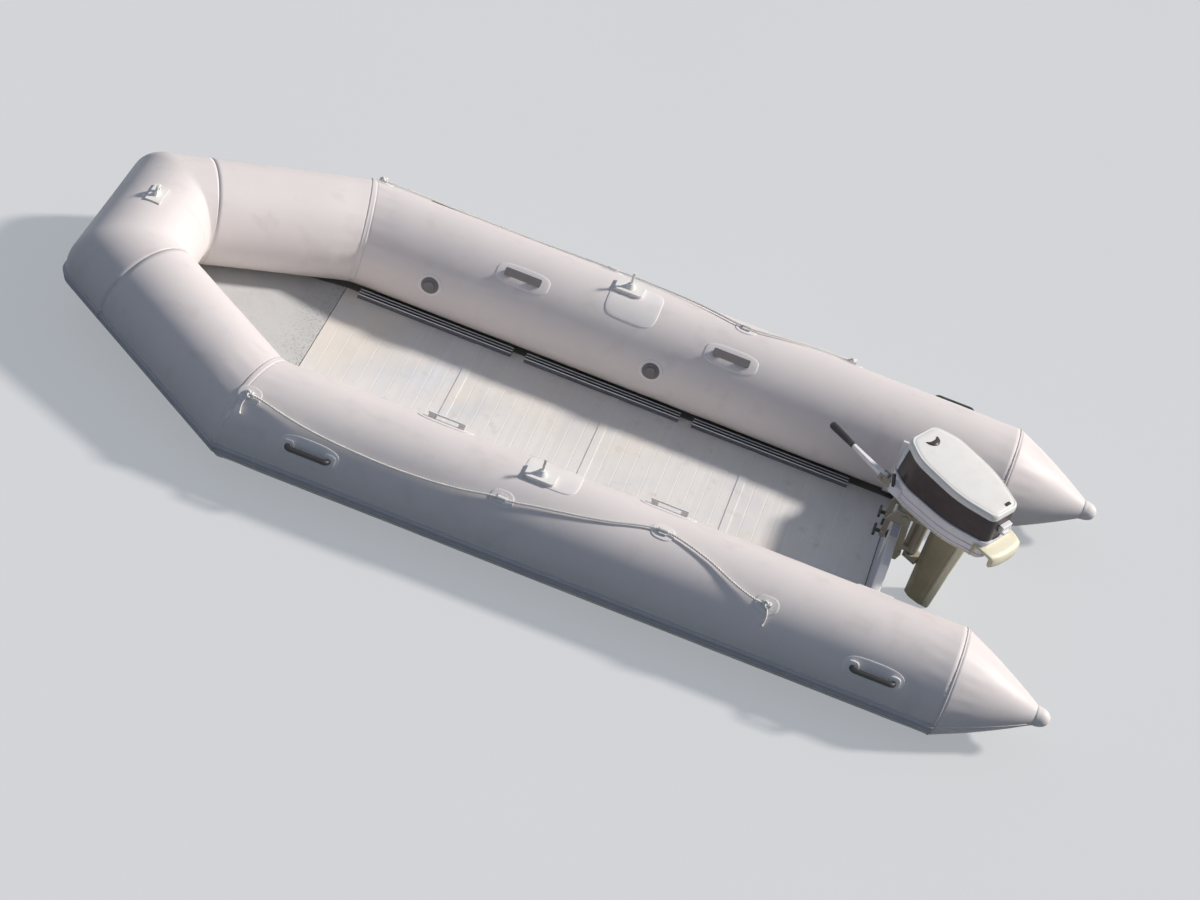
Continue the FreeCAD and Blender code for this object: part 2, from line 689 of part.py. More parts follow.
def tube_frame(side, x, angle):
    """Placement on the tube: X along the tube, Z straight out of it."""
    out = tube_spot(side, x, angle, 1) - tube_spot(side, x, angle, 0)
    across = out.cross(X_AXIS)
    turn = FreeCAD.Rotation(X_AXIS, across, out, "ZXY")
    return FreeCAD.Placement(tube_spot(side, x, angle), turn)


def patch(side, x, angle, length, width):
    """An oval fabric patch round a place on a side tube."""
    thick = num("patch_thick")
    start = V(x - length, side * tube_y, tube_z)
    shell = Part.makeCylinder(tube_r + thick, 2 * length, start, X_AXIS)
    shell = shell.cut(Part.makeCylinder(tube_r, 2 * length, start, X_AXIS))
    ring = rounded([
        (-length / 2, -width / 2, -60, width * 0.42),
        (length / 2, -width / 2, -60, width * 0.42),
        (length / 2, width / 2, -60, width * 0.42),
        (-length / 2, width / 2, -60, width * 0.42),
    ], closed=True)
    plug = Part.Face(ring).extrude(V(0, 0, 100))
    plug.Placement = tube_frame(side, x, angle)
    return shell.common(plug)


# Lifeline eyes: X, angle above the outward side
EYES = ((1195, 55), (135, 50), (-491, 80), (-964, 48))
OUTER_HANDLES = ((900, 22), (-1440, 22))
INNER_HANDLES = ((462, 127), (-479, 127))
VALVES = ((824, 172), (-180, 172))
OARLOCK_X = 30

patches = []
for name, side in SIDES:
    for x, angle in EYES:
        patches.append(patch(side, x, angle, 96, 72))
    for x, angle in OUTER_HANDLES:
        patches.append(patch(side, x, angle, 290, 110))
    for x, angle in INNER_HANDLES:
        patches.append(patch(side, x, angle, 270, 110))
    patches.append(patch(side, OARLOCK_X, 92, 170, 130))
feature(Part.makeCompound(patches), "fabric_patches")


def eye(side, x, angle):
    """A moulded eye: a block on the patch with a bore for the rope."""
    base = num("patch_thick")
    middle = num("rope_lift + rope_radius")
    outer = num("rope_radius + eye_wall")
    length = num("eye_length")
    block = Part.makeBox(length, 2 * outer + 14, middle - base, V(-length / 2, -outer - 7, base))
    ring = Part.makeCylinder(outer, length, V(-length / 2, 0, middle), X_AXIS)
    bore = Part.makeCylinder(num("rope_radius") + 0.6, length, V(-length / 2, 0, middle), X_AXIS)
    whole = block.fuse(ring).cut(bore)
    whole.Placement = tube_frame(side, x, angle)
    hollow = Part.makeCylinder(tube_r + base, 2 * length, V(x - length, side * tube_y, tube_z), X_AXIS)
    whole = whole.cut(hollow)
    return whole


feature(Part.makeCompound([eye(side, x, angle) for _, side in SIDES for x, angle in EYES]), "lifeline_eyes")

# Lifelines: X and angle of each point, the first and last inside the end eyes
ROPE = (
    (1195, 55), (1160, 55), (1085, 50.5), (985, 45.5), (870, 42), (745, 40), (620, 39), (495, 39.6),
    (375, 41.6), (265, 45), (172, 50), (98, 50), (20, 54), (-80, 58), (-185, 62.5), (-290, 68),
    (-380, 75), (-454, 80), (-528, 80), (-610, 75), (-708, 67), (-800, 57), (-880, 50.4), (-930, 48), (-964, 48),
)


def rope_points(side):
    above = num("rope_lift + rope_radius")
    return [tube_spot(side, x, angle, above) for x, angle in ROPE]


def route(points):
    """Corner points with each arc as large as its two runs allow."""
    rows = []
    for i, spot in enumerate(points):
        radius = 0
        if 0 < i < len(points) - 1:
            before = points[i - 1] - spot
            after = points[i + 1] - spot
            half = before.getAngle(after) / 2
            radius = 0.45 * min(before.Length, after.Length) * math.tan(half)
        rows.append((spot.x, spot.y, spot.z, radius))
    return rows


for name, side in SIDES:
    spots = rope_points(side)
    line = route(spots)
    rope = piped(line, num("rope_radius"))
    feature(rope, "lifeline_" + name)
    print(name, "lifeline bends", [round(row[3]) for row in line[1:-1]])
    print("volume over section times length", rope.Volume / (rounded(line).Length * math.pi * num("rope_radius") ** 2))


# Grab handles: two feet and a bar between them
def handle(side, x, angle):
    length = num("handle_length")
    stand = num("handle_stand")
    radius = num("bar_radius")
    base = num("patch_thick")
    bar = piped([
        (-length / 2, 0, base - SINK, 0),
        (-length / 2, 0, stand, stand * 0.5),
        (length / 2, 0, stand, stand * 0.5),
        (length / 2, 0, base - SINK, 0),
    ], radius)
    feet = [Part.makeCylinder(radius * 1.7, SINK + radius * 0.5, V(s * length / 2, 0, base - SINK)) for s in (-1, 1)]
    whole = bar.fuse(feet).removeSplitter()
    whole.Placement = tube_frame(side, x, angle)
    hollow = Part.makeCylinder(tube_r + base, 3 * length, V(x - 1.5 * length, side * tube_y, tube_z), X_AXIS)
    return whole.cut(hollow)


def rounded_plate(length, width, corner_radius, low, thick):
    """A flat plate with round corners, centred on the origin."""
    ring = [(sx * length / 2, sy * width / 2, low, corner_radius) for sx, sy in ((-1, -1), (1, -1), (1, 1), (-1, 1))]
    return Part.Face(rounded(ring, closed=True)).extrude(V(0, 0, thick))


def flat_handle(side, x, angle):
    """A flat moulded grip: a wide strap between two low feet."""
    length = num("flat_length")
    width = num("flat_width")
    base = num("patch_thick")
    clear = num("flat_gap")
    foot = num("flat_foot")
    whole = rounded_plate(length, width, 6, base + clear, num("flat_thick"))
    for s in (-1, 1):
        start = V(s * (length / 2 - foot / 2 - 4) - foot / 2, -width / 2 + 3, -SINK)
        whole = whole.fuse(Part.makeBox(foot, width - 6, SINK + base + clear + 1, start))
    whole.Placement = tube_frame(side, x, angle)
    hollow = Part.makeCylinder(tube_r + base, 3 * length, V(x - 1.5 * length, side * tube_y, tube_z), X_AXIS)
    return whole.cut(hollow).removeSplitter()


outer_grips = [handle(side, x, angle) for _, side in SIDES for x, angle in OUTER_HANDLES]
feature(Part.makeCompound(outer_grips), "outer_handles")
inner_grips = [flat_handle(side, x, angle) for _, side in SIDES for x, angle in INNER_HANDLES]
feature(Part.makeCompound(inner_grips), "inner_handles")


def valve(side, x, angle):
    radius = num("valve_radius")
    rise = num("valve_rise")
    flange = Part.makeCylinder(radius, SINK + rise, V(0, 0, -SINK))
    cap = Part.makeCylinder(radius * 0.66, num("valve_cap_rise"), V(0, 0, rise))
    whole = flange.fuse(cap)
    whole.Placement = tube_frame(side, x, angle)
    return whole.cut(Part.makeCylinder(tube_r, 6 * radius, V(x - 3 * radius, side * tube_y, tube_z), X_AXIS))


feature(Part.makeCompound([valve(side, x, angle) for _, side in SIDES for x, angle in VALVES]), "valves")

# Oarlocks: a moulded base on the tube's top with an upright pin
rise = num("oarlock_rise")
boss_top = rise + num("boss_rise")
for name, side in SIDES:
    base = rounded_plate(num("oarlock_length"), num("oarlock_width"), 16, -SINK, SINK + rise)
    boss = Part.makeCone(num("boss_radius"), num("collar_radius") + 2, num("boss_rise"), V(0, 0, rise))
    collar = Part.makeCylinder(num("collar_radius"), num("collar_rise"), V(0, 0, boss_top))
    pin = Part.makeCylinder(num("oarlock_pin"), num("collar_rise + oarlock_reach"), V(0, 0, boss_top))
    whole = base.fuse([boss, collar, pin])
    spot = tube_spot(side, OARLOCK_X, 90, 0)
    whole.Placement = FreeCAD.Placement(spot, FreeCAD.Rotation())
    start = V(OARLOCK_X - num("oarlock_length"), side * tube_y, tube_z)
    hollow = Part.makeCylinder(tube_r + num("patch_thick"), 2 * num("oarlock_length"), start, X_AXIS)
    feature(whole.cut(hollow).removeSplitter(), "oarlock_" + name)

# Bow tow eye: a plate on the bow tube's upper front with a drilled lug
lug_r = num("tow_lug_radius")
lug_thick = num("tow_lug_thick")
eye_rise = num("tow_eye_rise")
lug = Part.makeBox(lug_thick, 2 * lug_r, SINK + eye_rise, V(-lug_thick / 2, -lug_r, -SINK))
lug = lug.fuse(Part.makeCylinder(lug_r, lug_thick, V(-lug_thick / 2, 0, eye_rise), X_AXIS))
lug = lug.cut(Part.makeCylinder(num("tow_eye_bore"), lug_thick, V(-lug_thick / 2, 0, eye_rise), X_AXIS))
plate_x = num("tow_plate_length")
plate_y = num("tow_plate_width")
plate = Part.makeBox(plate_x, plate_y, SINK + num("tow_plate_rise"), V(-plate_x / 2, -plate_y / 2, -SINK))
whole = lug.fuse(plate)
whole.Placement = FreeCAD.Placement(bow_middle + V(0, 0, tube_r), FreeCAD.Rotation())
feature(whole.cut(bow_shape).removeSplitter(), "bow_tow_eye")

# Clamp bracket: two hooked plates over the transom, joined by the tilt tube, a web and the thrust rod.
# Outline of a plate from the tilt axis, X forward and Z up
hook_x = "(tilt_behind + transom_thick)"
hook_back = f"({hook_x} + pad_thick + hook_gap)"
hook_front = f"({hook_x} + hook_reach)"
plate_outline = (
    ("-clamp_neck + 6", "clamp_crown - 8"),
    ("-clamp_neck + 22", "clamp_crown"),
    (hook_x, "clamp_crown"),
    (f"{hook_front} - 14", "clamp_crown - 30"),
    (hook_front, "-tilt_above"),
    (hook_front, "-hook_drop"),
    (hook_back, "-hook_drop"),
    (hook_back, "-tilt_above"),
    ("tilt_behind - pad_thick", "-tilt_above"),
    ("tilt_behind - pad_thick", "-clamp_drop"),
    ("-clamp_neck", "-clamp_drop"),
    ("-clamp_heel", "-clamp_drop + 35"),
    ("-clamp_neck", "-clamp_drop + 135"),
)
parts = []
for side in (1, -1):
    # the XZ plane's pad runs towards -Y
    y = "clamp_gap + clamp_plate" if side > 0 else "-clamp_gap"
    parts.append(padded("XZ", plate_outline, "clamp_plate", at=(TILT[0], y, TILT[2])))
along_x = FreeCAD.Rotation(Y_AXIS, 90)
along_y = FreeCAD.Rotation(X_AXIS, -90)
# each rod's end stands this far proud of the clamp plates
for x, z, radius, proud in (("0", "0", "tilt_pin", 8), ("-rod_behind", "-rod_drop", "rod_radius", 5)):
    at = (f"{TILT[0]} + {x}", f"-clamp_gap - clamp_plate - {proud}", f"{TILT[2]} + {z}")
    parts.append(primitive("Cylinder", at, along_y, Radius=radius, Height=f"2 * (clamp_gap + clamp_plate + {proud})"))
parts.append(primitive("Box", (f"{TILT[0]} - web_back", "-clamp_gap", f"{TILT[2]} - web_foot"),
                       Length="web_back + tilt_behind - pad_thick", Width="2 * clamp_gap", Height="web_height"))
screw_z = f"{TILT[2]} - screw_drop"
screw_middles = [f"{side} * (clamp_gap + clamp_plate / 2)" for side in (1, -1)]
for middle in screw_middles:
    parts.append(primitive("Cylinder", (f"{TILT[0]} + {hook_back}", middle, screw_z), along_x,
                           Radius="screw_boss", Height=f"{hook_front} - {hook_back}"))
holes = []
for middle in screw_middles:
    holes.append(primitive("Cylinder", (f"{TILT[0]} + {hook_x}", middle, screw_z), along_x,
                           Radius="screw_radius + screw_play", Height="screw_length"))
node(less(joined(*parts), *holes), "clamp_bracket")
screws = []
for middle in screw_middles:
    start = f"{TILT[0]} + {hook_x} + pad_thick"
    screws.append(joined(
        primitive("Cylinder", (start, middle, screw_z), along_x, Radius="screw_radius + 10", Height="screw_shoe"),
        primitive("Cylinder", (start, middle, screw_z), along_x, Radius="screw_radius", Height="screw_length"),
        primitive("Cylinder", (f"{start} + screw_length - 4", f"{middle} - bar_length / 2", screw_z), along_y,
                  Radius="bar_half", Height="bar_length"),
    ))
node(joined(*screws), "clamp_screws")

# Swivel bracket: the steering tube, two ears on the tilt tube and a thrust block against the rod
steer_x = num(STEER[0])
tilt_x = num(TILT[0])
tilt_z = num(TILT[2])
behind = num("steer_behind")
gap = num("running_gap")
outer = num("steer_pin + swivel_wall")
low = -num("swivel_bottom")
tall = num("swivel_top + swivel_bottom")
swivel = Part.makeCylinder(outer, tall, V(0, 0, low))
ear_r = num("tilt_pin + swivel_ear")
ear_out = num("clamp_gap - swivel_side")
arm_high = num("swivel_arm")
arm_wide = num("swivel_slot")
arm = Part.makeBox(behind, 2 * ear_out, arm_high, V(0, -ear_out, -arm_high / 2))
ear = Part.makeCylinder(ear_r, 2 * ear_out, V(behind, -ear_out, 0), Y_AXIS)
slot = Part.makeBox(2 * ear_r, 2 * (ear_out - arm_wide), 3 * ear_r, V(behind - ear_r - 4, -ear_out + arm_wide, -1.5 * ear_r))
thrust = num("thrust_width")
reach = behind - num("rod_behind + rod_radius + thrust_gap")
block = Part.makeBox(reach, thrust, num("thrust_height"), V(0, -thrust / 2, low + 1))
rib = Part.makeBox(30, 14, tall - 72, V(10, -7, low + 18))
swivel = swivel.fuse([arm, ear, block, rib]).cut(slot)
swivel = swivel.cut(Part.makeCylinder(num("steer_pin") + gap, tall + 2, V(0, 0, low - 1)))
swivel = swivel.cut(Part.makeCylinder(num("tilt_pin") + gap, 4 * ear_out, V(behind, -2 * ear_out, 0), Y_AXIS))
swivel_place = FreeCAD.Placement(V(steer_x, 0, tilt_z), FreeCAD.Rotation())
feature(swivel.removeSplitter(), "swivel_bracket", swivel_place)

# The motor turns about the steering axis. Its pieces are drawn straight ahead and steered as in the photo.
yaw = FreeCAD.Rotation(Z_AXIS, num("rest_yaw"))
motor_place = FreeCAD.Placement(V(steer_x, 0, tilt_z), yaw)
leg_front = -num("leg_front")
yoke = num("yoke_length")
yoke_high = num("yoke_height")
yoke_gap = 5.5
shaft = Part.makeCylinder(num("steer_pin"), tall + yoke_gap + yoke_high + 12, V(0, 0, low - yoke_gap - yoke_high + 2))
top_low = num("swivel_top") + yoke_gap
top_yoke = Part.makeBox(yoke, 64, num("pan_bottom") - 0.3 - top_low, V(leg_front, -32, top_low))
low_yoke = Part.makeBox(yoke, 56, yoke_high, V(leg_front, -28, low - yoke_gap - yoke_high))
feature(shaft.fuse([top_yoke, low_yoke]).removeSplitter(), "steering_shaft", motor_place)


def cowl_wire(z, front, back, half, nose, tail, inset=0.0):
    """A barrel-shaped outline seen from above: half is at the middle, nose and tail at the ends."""
    front = front - inset
    back = -back + inset
    half = half - inset
    nose = nose - inset
    tail = tail - inset
    corners = [
        (front, -nose, 34), (front * 0.45, -half, 120), (back * 0.52, -half, 160), (back, -tail, 30),
        (back, tail, 30), (back * 0.52, half, 160), (front * 0.45, half, 120), (front, nose, 34),
    ]
    return rounded([(x, y, z, radius) for x, y, radius in corners], closed=True)


def cowl_loft(rows, inset=0.0):
    return Part.makeLoft([cowl_wire(*row, inset=inset) for row in rows], True, True)


cowl_f = num("cowl_front")
cowl_b = num("cowl_back")
cowl_h = num("cowl_half")
wall = num("cowl_wall")
pan_low = num("pan_bottom")
pan_high = num("pan_top")
split = num("cowl_split")
band_high = num("band_top")
crown = num("cowl_top")
PAN_FLOOR = 6
# height, front, back, half-width at the middle, at the nose and at the tail
PAN = (
    (pan_low, cowl_f - 16, cowl_b - 40, cowl_h - 30, 74, 62),
    (pan_low + 16, cowl_f - 4, cowl_b - 8, cowl_h - 10, 84, 80),
    (pan_high, cowl_f + 4, cowl_b + 12, cowl_h, 90, 88),
)
LOWER = (
    (pan_high, cowl_f, cowl_b, cowl_h - 4, 87, 84),
    (split, cowl_f + 2, cowl_b, cowl_h - 6, 86, 84),
)
BAND = (
    (split, cowl_f, cowl_b - 2, cowl_h - 8, 84, 82),
    (band_high, cowl_f - 10, cowl_b - 12, cowl_h - 20, 74, 76),
)
TOP = (
    (band_high, cowl_f - 6, cowl_b - 8, cowl_h - 17, 76, 78),
    (band_high + 20, cowl_f - 12, cowl_b - 14, cowl_h - 26, 70, 74),
    (crown - 22, cowl_f - 22, cowl_b - 22, cowl_h - 42, 60, 66),
    (crown - 7, cowl_f - 32, cowl_b - 32, cowl_h - 54, 50, 56),
    (crown, cowl_f - 52, cowl_b - 58, cowl_h - 74, 36, 40),
)
pan = cowl_loft(PAN)
pan_inner = cowl_loft([(pan_low + PAN_FLOOR,) + PAN[1][1:], PAN[2]], inset=wall + 6)
feature(pan.cut(pan_inner).removeSplitter(), "bottom_pan", motor_place)
feature(cowl_loft(LOWER).cut(cowl_loft(LOWER, inset=wall)).removeSplitter(), "lower_cowl", motor_place)
feature(cowl_loft(BAND).cut(cowl_loft(BAND, inset=wall)).removeSplitter(), "cowl_band", motor_place)
inside = [TOP[0], TOP[1], TOP[2], (crown - 7 - wall * 0.5,) + TOP[3][1:]]
cover = cowl_loft(TOP).cut(cowl_loft(inside, inset=wall))
recess = Part.makeBox(34, 62, 9, V(cowl_f - 92, -31, crown - 9))
lip = Part.makeBox(70, 110, 16, V(cowl_f - 108, -55, crown - 20 - wall))
cover = cover.fuse(lip.common(cowl_loft(TOP))).cut(recess)
feature(cover.removeSplitter(), "cowl_top", motor_place)
engine_x = num("powerhead_length")
engine_y = num("powerhead_width")
engine_at = V(num("powerhead_front") - engine_x, -engine_y / 2, pan_low + PAN_FLOOR)
feature(Part.makeBox(engine_x, engine_y, num("powerhead_height"), engine_at), "powerhead", motor_place)

# Drive leg: height, front, back, half-width
LEG = (
    (pan_low, 30, 196, 52),
    (pan_low - 60, leg_front * -1, 190, 40),
    (-180, leg_front * -1, 176, 33),
    (-num("plate_depth") + 90, leg_front * -1 + 4, 168, 26),
    (-num("plate_depth") + 6, leg_front * -1, 176, 24),
)


def leg_wire(z, front, back, half):
    corners = [(-front, -half * 0.5, half * 0.42), (-front - 34, -half, 40), (-back + 40, -half * 0.8, 40),
               (-back, -half * 0.24, half * 0.2)]
    corners += [(x, -y, radius) for x, y, radius in corners[::-1]]
    return rounded([(x, y, z, radius) for x, y, radius in corners], closed=True)


leg = Part.makeLoft([leg_wire(z, front, back, half) for z, front, back, half in LEG], True, True)
notch = Part.makeBox(80, 140, num("pan_bottom"), V(leg_front, -70, 0))
leg = leg.cut(notch)
feature(leg.removeSplitter(), "drive_leg", motor_place)

# Gearcase: plate, strut, torpedo and skeg
plate_z = -num("plate_depth")
shaft_z = -num("shaft_depth")
torpedo_r = num("torpedo_radius")
hub_front = -num("hub_front")
vent_half = num("vent_half")
vent_back = -num("vent_back")
vent_front = leg_front + 12
outline = rounded([
    (vent_front, -vent_half / 3, plate_z, 20), (vent_back / 2, -vent_half, plate_z, 60),
    (vent_back, -vent_half, plate_z, 24), (vent_back, vent_half, plate_z, 24),
    (vent_back / 2, vent_half, plate_z, 60), (vent_front, vent_half / 3, plate_z, 20),
], closed=True)
vent_plate = Part.Face(outline).extrude(V(0, 0, num("vent_thick")))
strut = Part.makeLoft([leg_wire(plate_z, 48, 180, 24), leg_wire(shaft_z + torpedo_r * 0.5, 40, 190, 26)], True, True)
half_profile = [
    V(10, 0, 0), V(-42, torpedo_r * 0.82, 0), V(-92, torpedo_r, 0), V(-200, torpedo_r * 0.94, 0),
    V(hub_front + 2, torpedo_r * 0.7, 0), V(hub_front + 2, 0, 0),
]
nose = Part.Arc(half_profile[0], V(-12, torpedo_r * 0.5, 0), half_profile[1]).toShape()
swell = Part.Arc(half_profile[1], V(-66, torpedo_r * 0.95, 0), half_profile[2]).toShape()
flank = [Part.LineSegment(a, b).toShape() for a, b in zip(half_profile[2:], half_profile[3:] + half_profile[:1])]
torpedo = Part.Face(Part.Wire([nose, swell] + flank)).revolve(V(0, 0, 0), X_AXIS, 360)
torpedo = torpedo.fuse(Part.makeCylinder(num("shaft_radius"), num("hub_length") + 14, V(hub_front + 2, 0, 0), V(-1, 0, 0)))
torpedo.translate(V(0, 0, shaft_z))
skeg_low = shaft_z - num("skeg_depth")
skeg_thick = num("skeg_thick")
skeg_outline = [V(-70, 0, shaft_z), V(-230, 0, shaft_z), V(-205, 0, skeg_low + 6), V(-150, 0, skeg_low)]
skeg = Part.Face(Part.makePolygon(skeg_outline + skeg_outline[:1])).extrude(V(0, skeg_thick, 0))
skeg.translate(V(0, -skeg_thick / 2, 0))
gearcase = vent_plate.fuse([strut, torpedo, skeg]).removeSplitter()
feature(gearcase, "gearcase", motor_place)


# Propeller: three pitched blades lofted through crescent sections, on a hub
def blade_section(radius, chord, pitch, thick, rake):
    """A crescent at a radius, its chord turned by the pitch."""
    centre = V(-num("hub_length") / 2 - rake, 0, radius)
    a = math.radians(pitch)
    run = V(-math.sin(a), math.cos(a), 0)
    side = V(math.cos(a), math.sin(a), 0)
    ends = [centre - run * (chord / 2), centre + run * (chord / 2)]
    back = Part.Arc(ends[0], centre + side * (thick * 0.8), ends[1]).toShape()
    face = Part.Arc(ends[1], centre - side * (thick * 0.2), ends[0]).toShape()
    return Part.Wire([back, face])


reach = num("blade_reach")
# share of the reach, chord, pitch, thickness, rake
BLADE = ((0.2, 46, 62, 10, 0), (0.45, 84, 48, 7.5, 3), (0.72, 98, 36, 5.5, 7), (0.9, 78, 30, 4, 10), (0.985, 40, 28, 2.6, 12))
sections = [blade_section(share * reach, *rest) for share, *rest in BLADE]
blade = Part.makeLoft(sections, True, False)
hub_length = num("hub_length")
hub = Part.makeCone(num("hub_radius"), num("hub_radius") * 0.88, hub_length, V(0, 0, 0), V(-1, 0, 0))
wheel = hub
for k in range(3):
    turned_blade = blade.copy()
    turned_blade.rotate(V(0, 0, 0), X_AXIS, 120 * k)
    wheel = wheel.fuse(turned_blade)
wheel = wheel.cut(Part.makeCylinder(num("shaft_radius") + gap, hub_length + 40, V(20, 0, 0), V(-1, 0, 0)))
local = FreeCAD.Placement(V(hub_front, 0, shaft_z), FreeCAD.Rotation())
feature(wheel.removeSplitter(), "propeller", motor_place.multiply(local))

# Tiller bracket, starter grip and carry handle
side_y = num("tiller_side")
pivot = V(num("tiller_pivot"), side_y, num("tiller_height"))
knuckle_half = num("knuckle_width") / 2
cheek = num("cheek_thick")
cheek_in = knuckle_half + num("cheek_gap")
cheek_high = num("cheek_height")
root_x = num("bracket_root")
cheek_low = pivot.z - cheek_high / 2
tiller_bracket = Part.makeBox(num("bracket_block"), 2 * (cheek_in + cheek), cheek_high, V(root_x, side_y - cheek_in - cheek, cheek_low))
for start in (side_y - cheek_in - cheek, side_y + cheek_in):
    cheek_box = Part.makeBox(pivot.x + num("cheek_nose") - root_x, cheek, cheek_high, V(root_x, start, cheek_low))
    tiller_bracket = tiller_bracket.fuse(cheek_box)
pin_half = cheek_in + cheek + 4
pin = Part.makeCylinder(num("tiller_pin"), 2 * pin_half, V(pivot.x, side_y - pin_half, pivot.z), Y_AXIS)
tiller_bracket = tiller_bracket.fuse(pin).cut(pan).cut(cowl_loft(LOWER))
feature(tiller_bracket.removeSplitter(), "tiller_bracket", motor_place)


def largest(shape):
    """The shape's largest solid."""
    return max(shape.Solids, key=lambda solid: solid.Volume)


starter_r = num("starter_radius")
starter_y = -num("starter_side")
starter_z = pan_high + num("starter_rise")
starter_long = num("starter_length")
starter = Part.makeCylinder(starter_r, starter_long, V(cowl_f + 2 * starter_r, starter_y - starter_long / 2, starter_z), Y_AXIS)
starter = starter.fuse(Part.makeCylinder(starter_r - 2, 5 * starter_r, V(cowl_f - 20, starter_y, starter_z), X_AXIS))
feature(largest(starter.cut(cowl_loft(LOWER)).cut(pan)), "starter_grip", motor_place)
carry_x = -cowl_b - num("carry_reach")
carry_y = num("carry_half")
carry_z = pan_low + 30
carry = piped([
    (-cowl_b + 10, -carry_y - 4, carry_z, 0), (carry_x, -carry_y, carry_z, 20),
    (carry_x, carry_y, carry_z, 20), (-cowl_b + 10, carry_y + 4, carry_z, 0),
], num("carry_radius"))
feature(largest(carry.cut(pan)), "carry_handle", motor_place)

# Tiller: an arm on the bracket's pin and a grip, both along +X from the pin
rise = FreeCAD.Rotation(Y_AXIS, -num("tiller_rise"))
tiller_place = motor_place.multiply(FreeCAD.Placement(pivot, rise))
arm_length = num("tiller_reach - grip_length")
knuckle = Part.makeCylinder(num("knuckle_radius"), 2 * knuckle_half, V(0, -knuckle_half, 0), Y_AXIS)
arm_rows = []
for x, half_w, half_h in ((0, knuckle_half, 11), (40, knuckle_half - 0.5, 11), (arm_length, 9, 8)):
    ring = rounded([(x, sy * half_w, sz * half_h, 4) for sy, sz in ((-1, -1), (1, -1), (1, 1), (-1, 1))], closed=True)
    arm_rows.append(ring)
tiller_arm = knuckle.fuse(Part.makeLoft(arm_rows, True, True))
tiller_arm = tiller_arm.cut(Part.makeCylinder(num("tiller_pin") + gap, 60, V(0, -30, 0), Y_AXIS))
feature(tiller_arm.removeSplitter(), "tiller_arm", tiller_place)
grip_r = num("grip_radius")
end = num("tiller_reach")
profile = [V(arm_length, 0, 0), V(arm_length, grip_r * 0.8, 0), V(arm_length + 10, grip_r * 0.84, 0)]
profile += [V(end - 26, grip_r, 0), V(end - 6, grip_r * 0.94, 0), V(end, grip_r * 0.6, 0), V(end, 0, 0)]
grip = Part.Face(Part.Wire(Part.makePolygon(profile + profile[:1]))).revolve(V(0, 0, 0), X_AXIS, 360)
feature(grip, "tiller_grip", tiller_place)

doc.recompute()
faults = []
for thing in doc.Objects:
    if "Invalid" in thing.State or "Error" in thing.State:
        faults.append(f"{thing.Label}: {thing.State}")
for piece in nodes:
    if piece.Shape.isNull() or not piece.Shape.isValid() or not piece.Shape.Solids:
        faults.append(f"{piece.Label}: bad shape")
if faults:
    raise SystemExit("\n".join(faults))

os.makedirs("parts", exist_ok=True)
for piece in nodes:
    piece.Shape.exportStep(f"parts/{piece.Label}.step")
    print(f"{piece.Label:22s} solids {len(piece.Shape.Solids)}  litres {piece.Shape.Volume / 1e6:8.3f}")
print("pieces", len(nodes), "litres", sum(p.Shape.Volume for p in nodes) / 1e6)
print("tilt axis", tilt_x, tilt_z, "steering axis", steer_x)
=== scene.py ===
"""An inflatable boat with an outboard motor, afloat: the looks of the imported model.

Metres, +X bow, +Y port and +Z up. The waterline is z = 0 and the origin is amidships.
"""
import json
import math
from functools import partial

import bmesh
import bpy
from mathutils import Matrix, Vector, noise


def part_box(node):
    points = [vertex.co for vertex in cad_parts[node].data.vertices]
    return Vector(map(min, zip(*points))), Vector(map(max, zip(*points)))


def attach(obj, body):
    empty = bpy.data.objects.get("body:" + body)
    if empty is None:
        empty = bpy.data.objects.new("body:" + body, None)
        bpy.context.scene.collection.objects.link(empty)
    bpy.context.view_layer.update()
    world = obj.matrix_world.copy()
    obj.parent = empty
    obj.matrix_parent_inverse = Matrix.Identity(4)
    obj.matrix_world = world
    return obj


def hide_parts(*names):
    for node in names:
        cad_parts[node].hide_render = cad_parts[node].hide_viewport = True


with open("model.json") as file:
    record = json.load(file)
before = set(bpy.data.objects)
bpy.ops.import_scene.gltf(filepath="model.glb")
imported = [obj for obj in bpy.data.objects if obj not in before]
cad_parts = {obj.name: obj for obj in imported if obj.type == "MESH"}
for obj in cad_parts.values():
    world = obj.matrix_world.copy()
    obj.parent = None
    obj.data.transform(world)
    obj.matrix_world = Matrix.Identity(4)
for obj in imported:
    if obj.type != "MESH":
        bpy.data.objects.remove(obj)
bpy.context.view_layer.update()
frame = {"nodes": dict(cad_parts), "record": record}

SIDES = (("port", 1), ("starboard", -1))
X_AXIS = Vector((1, 0, 0))
Y_AXIS = Vector((0, 1, 0))

# The tubes' size and place, read from the frame
side_low, side_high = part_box("side_tube_port")
bow_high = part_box("bow_tube")[1]
TUBE_R = round((side_high.z - side_low.z) / 2, 3)
TUBE_Z = round((side_high.z + side_low.z) / 2, 3)
TUBE_Y = round(side_high.y - TUBE_R, 3)
CONE_X = round(side_low.x, 3)
BOW_X = round(bow_high.x - TUBE_R, 3)
BOW_Z = round(bow_high.z - TUBE_R, 3)
CAP_X = round(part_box("cone_port")[0].x, 3)
STERN_X = round(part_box("cone_caps")[0].x, 3)
# As in the part: where the tubes turn inward, half the bow's width, the stern cone's radius at its cap,
# and how far its sides swell
QUARTER_START = 1.21
BOW_HALF = 0.229
CAP_R = 0.036
CONE_CROWN = 0.009
# Sharper than in the part: the bow corners' crease inside and rounding outside
CREASE = 0.02
BOW_ROUND = 0.08


# Materials
def rgb(text):
    """Linear colour of a hexadecimal screen colour."""
    values = [int(text[i:i + 2], 16) / 255 for i in (0, 2, 4)]
    return tuple(v / 12.92 if v <= 0.04045 else ((v + 0.055) / 1.055) ** 2.4 for v in values) + (1.0,)


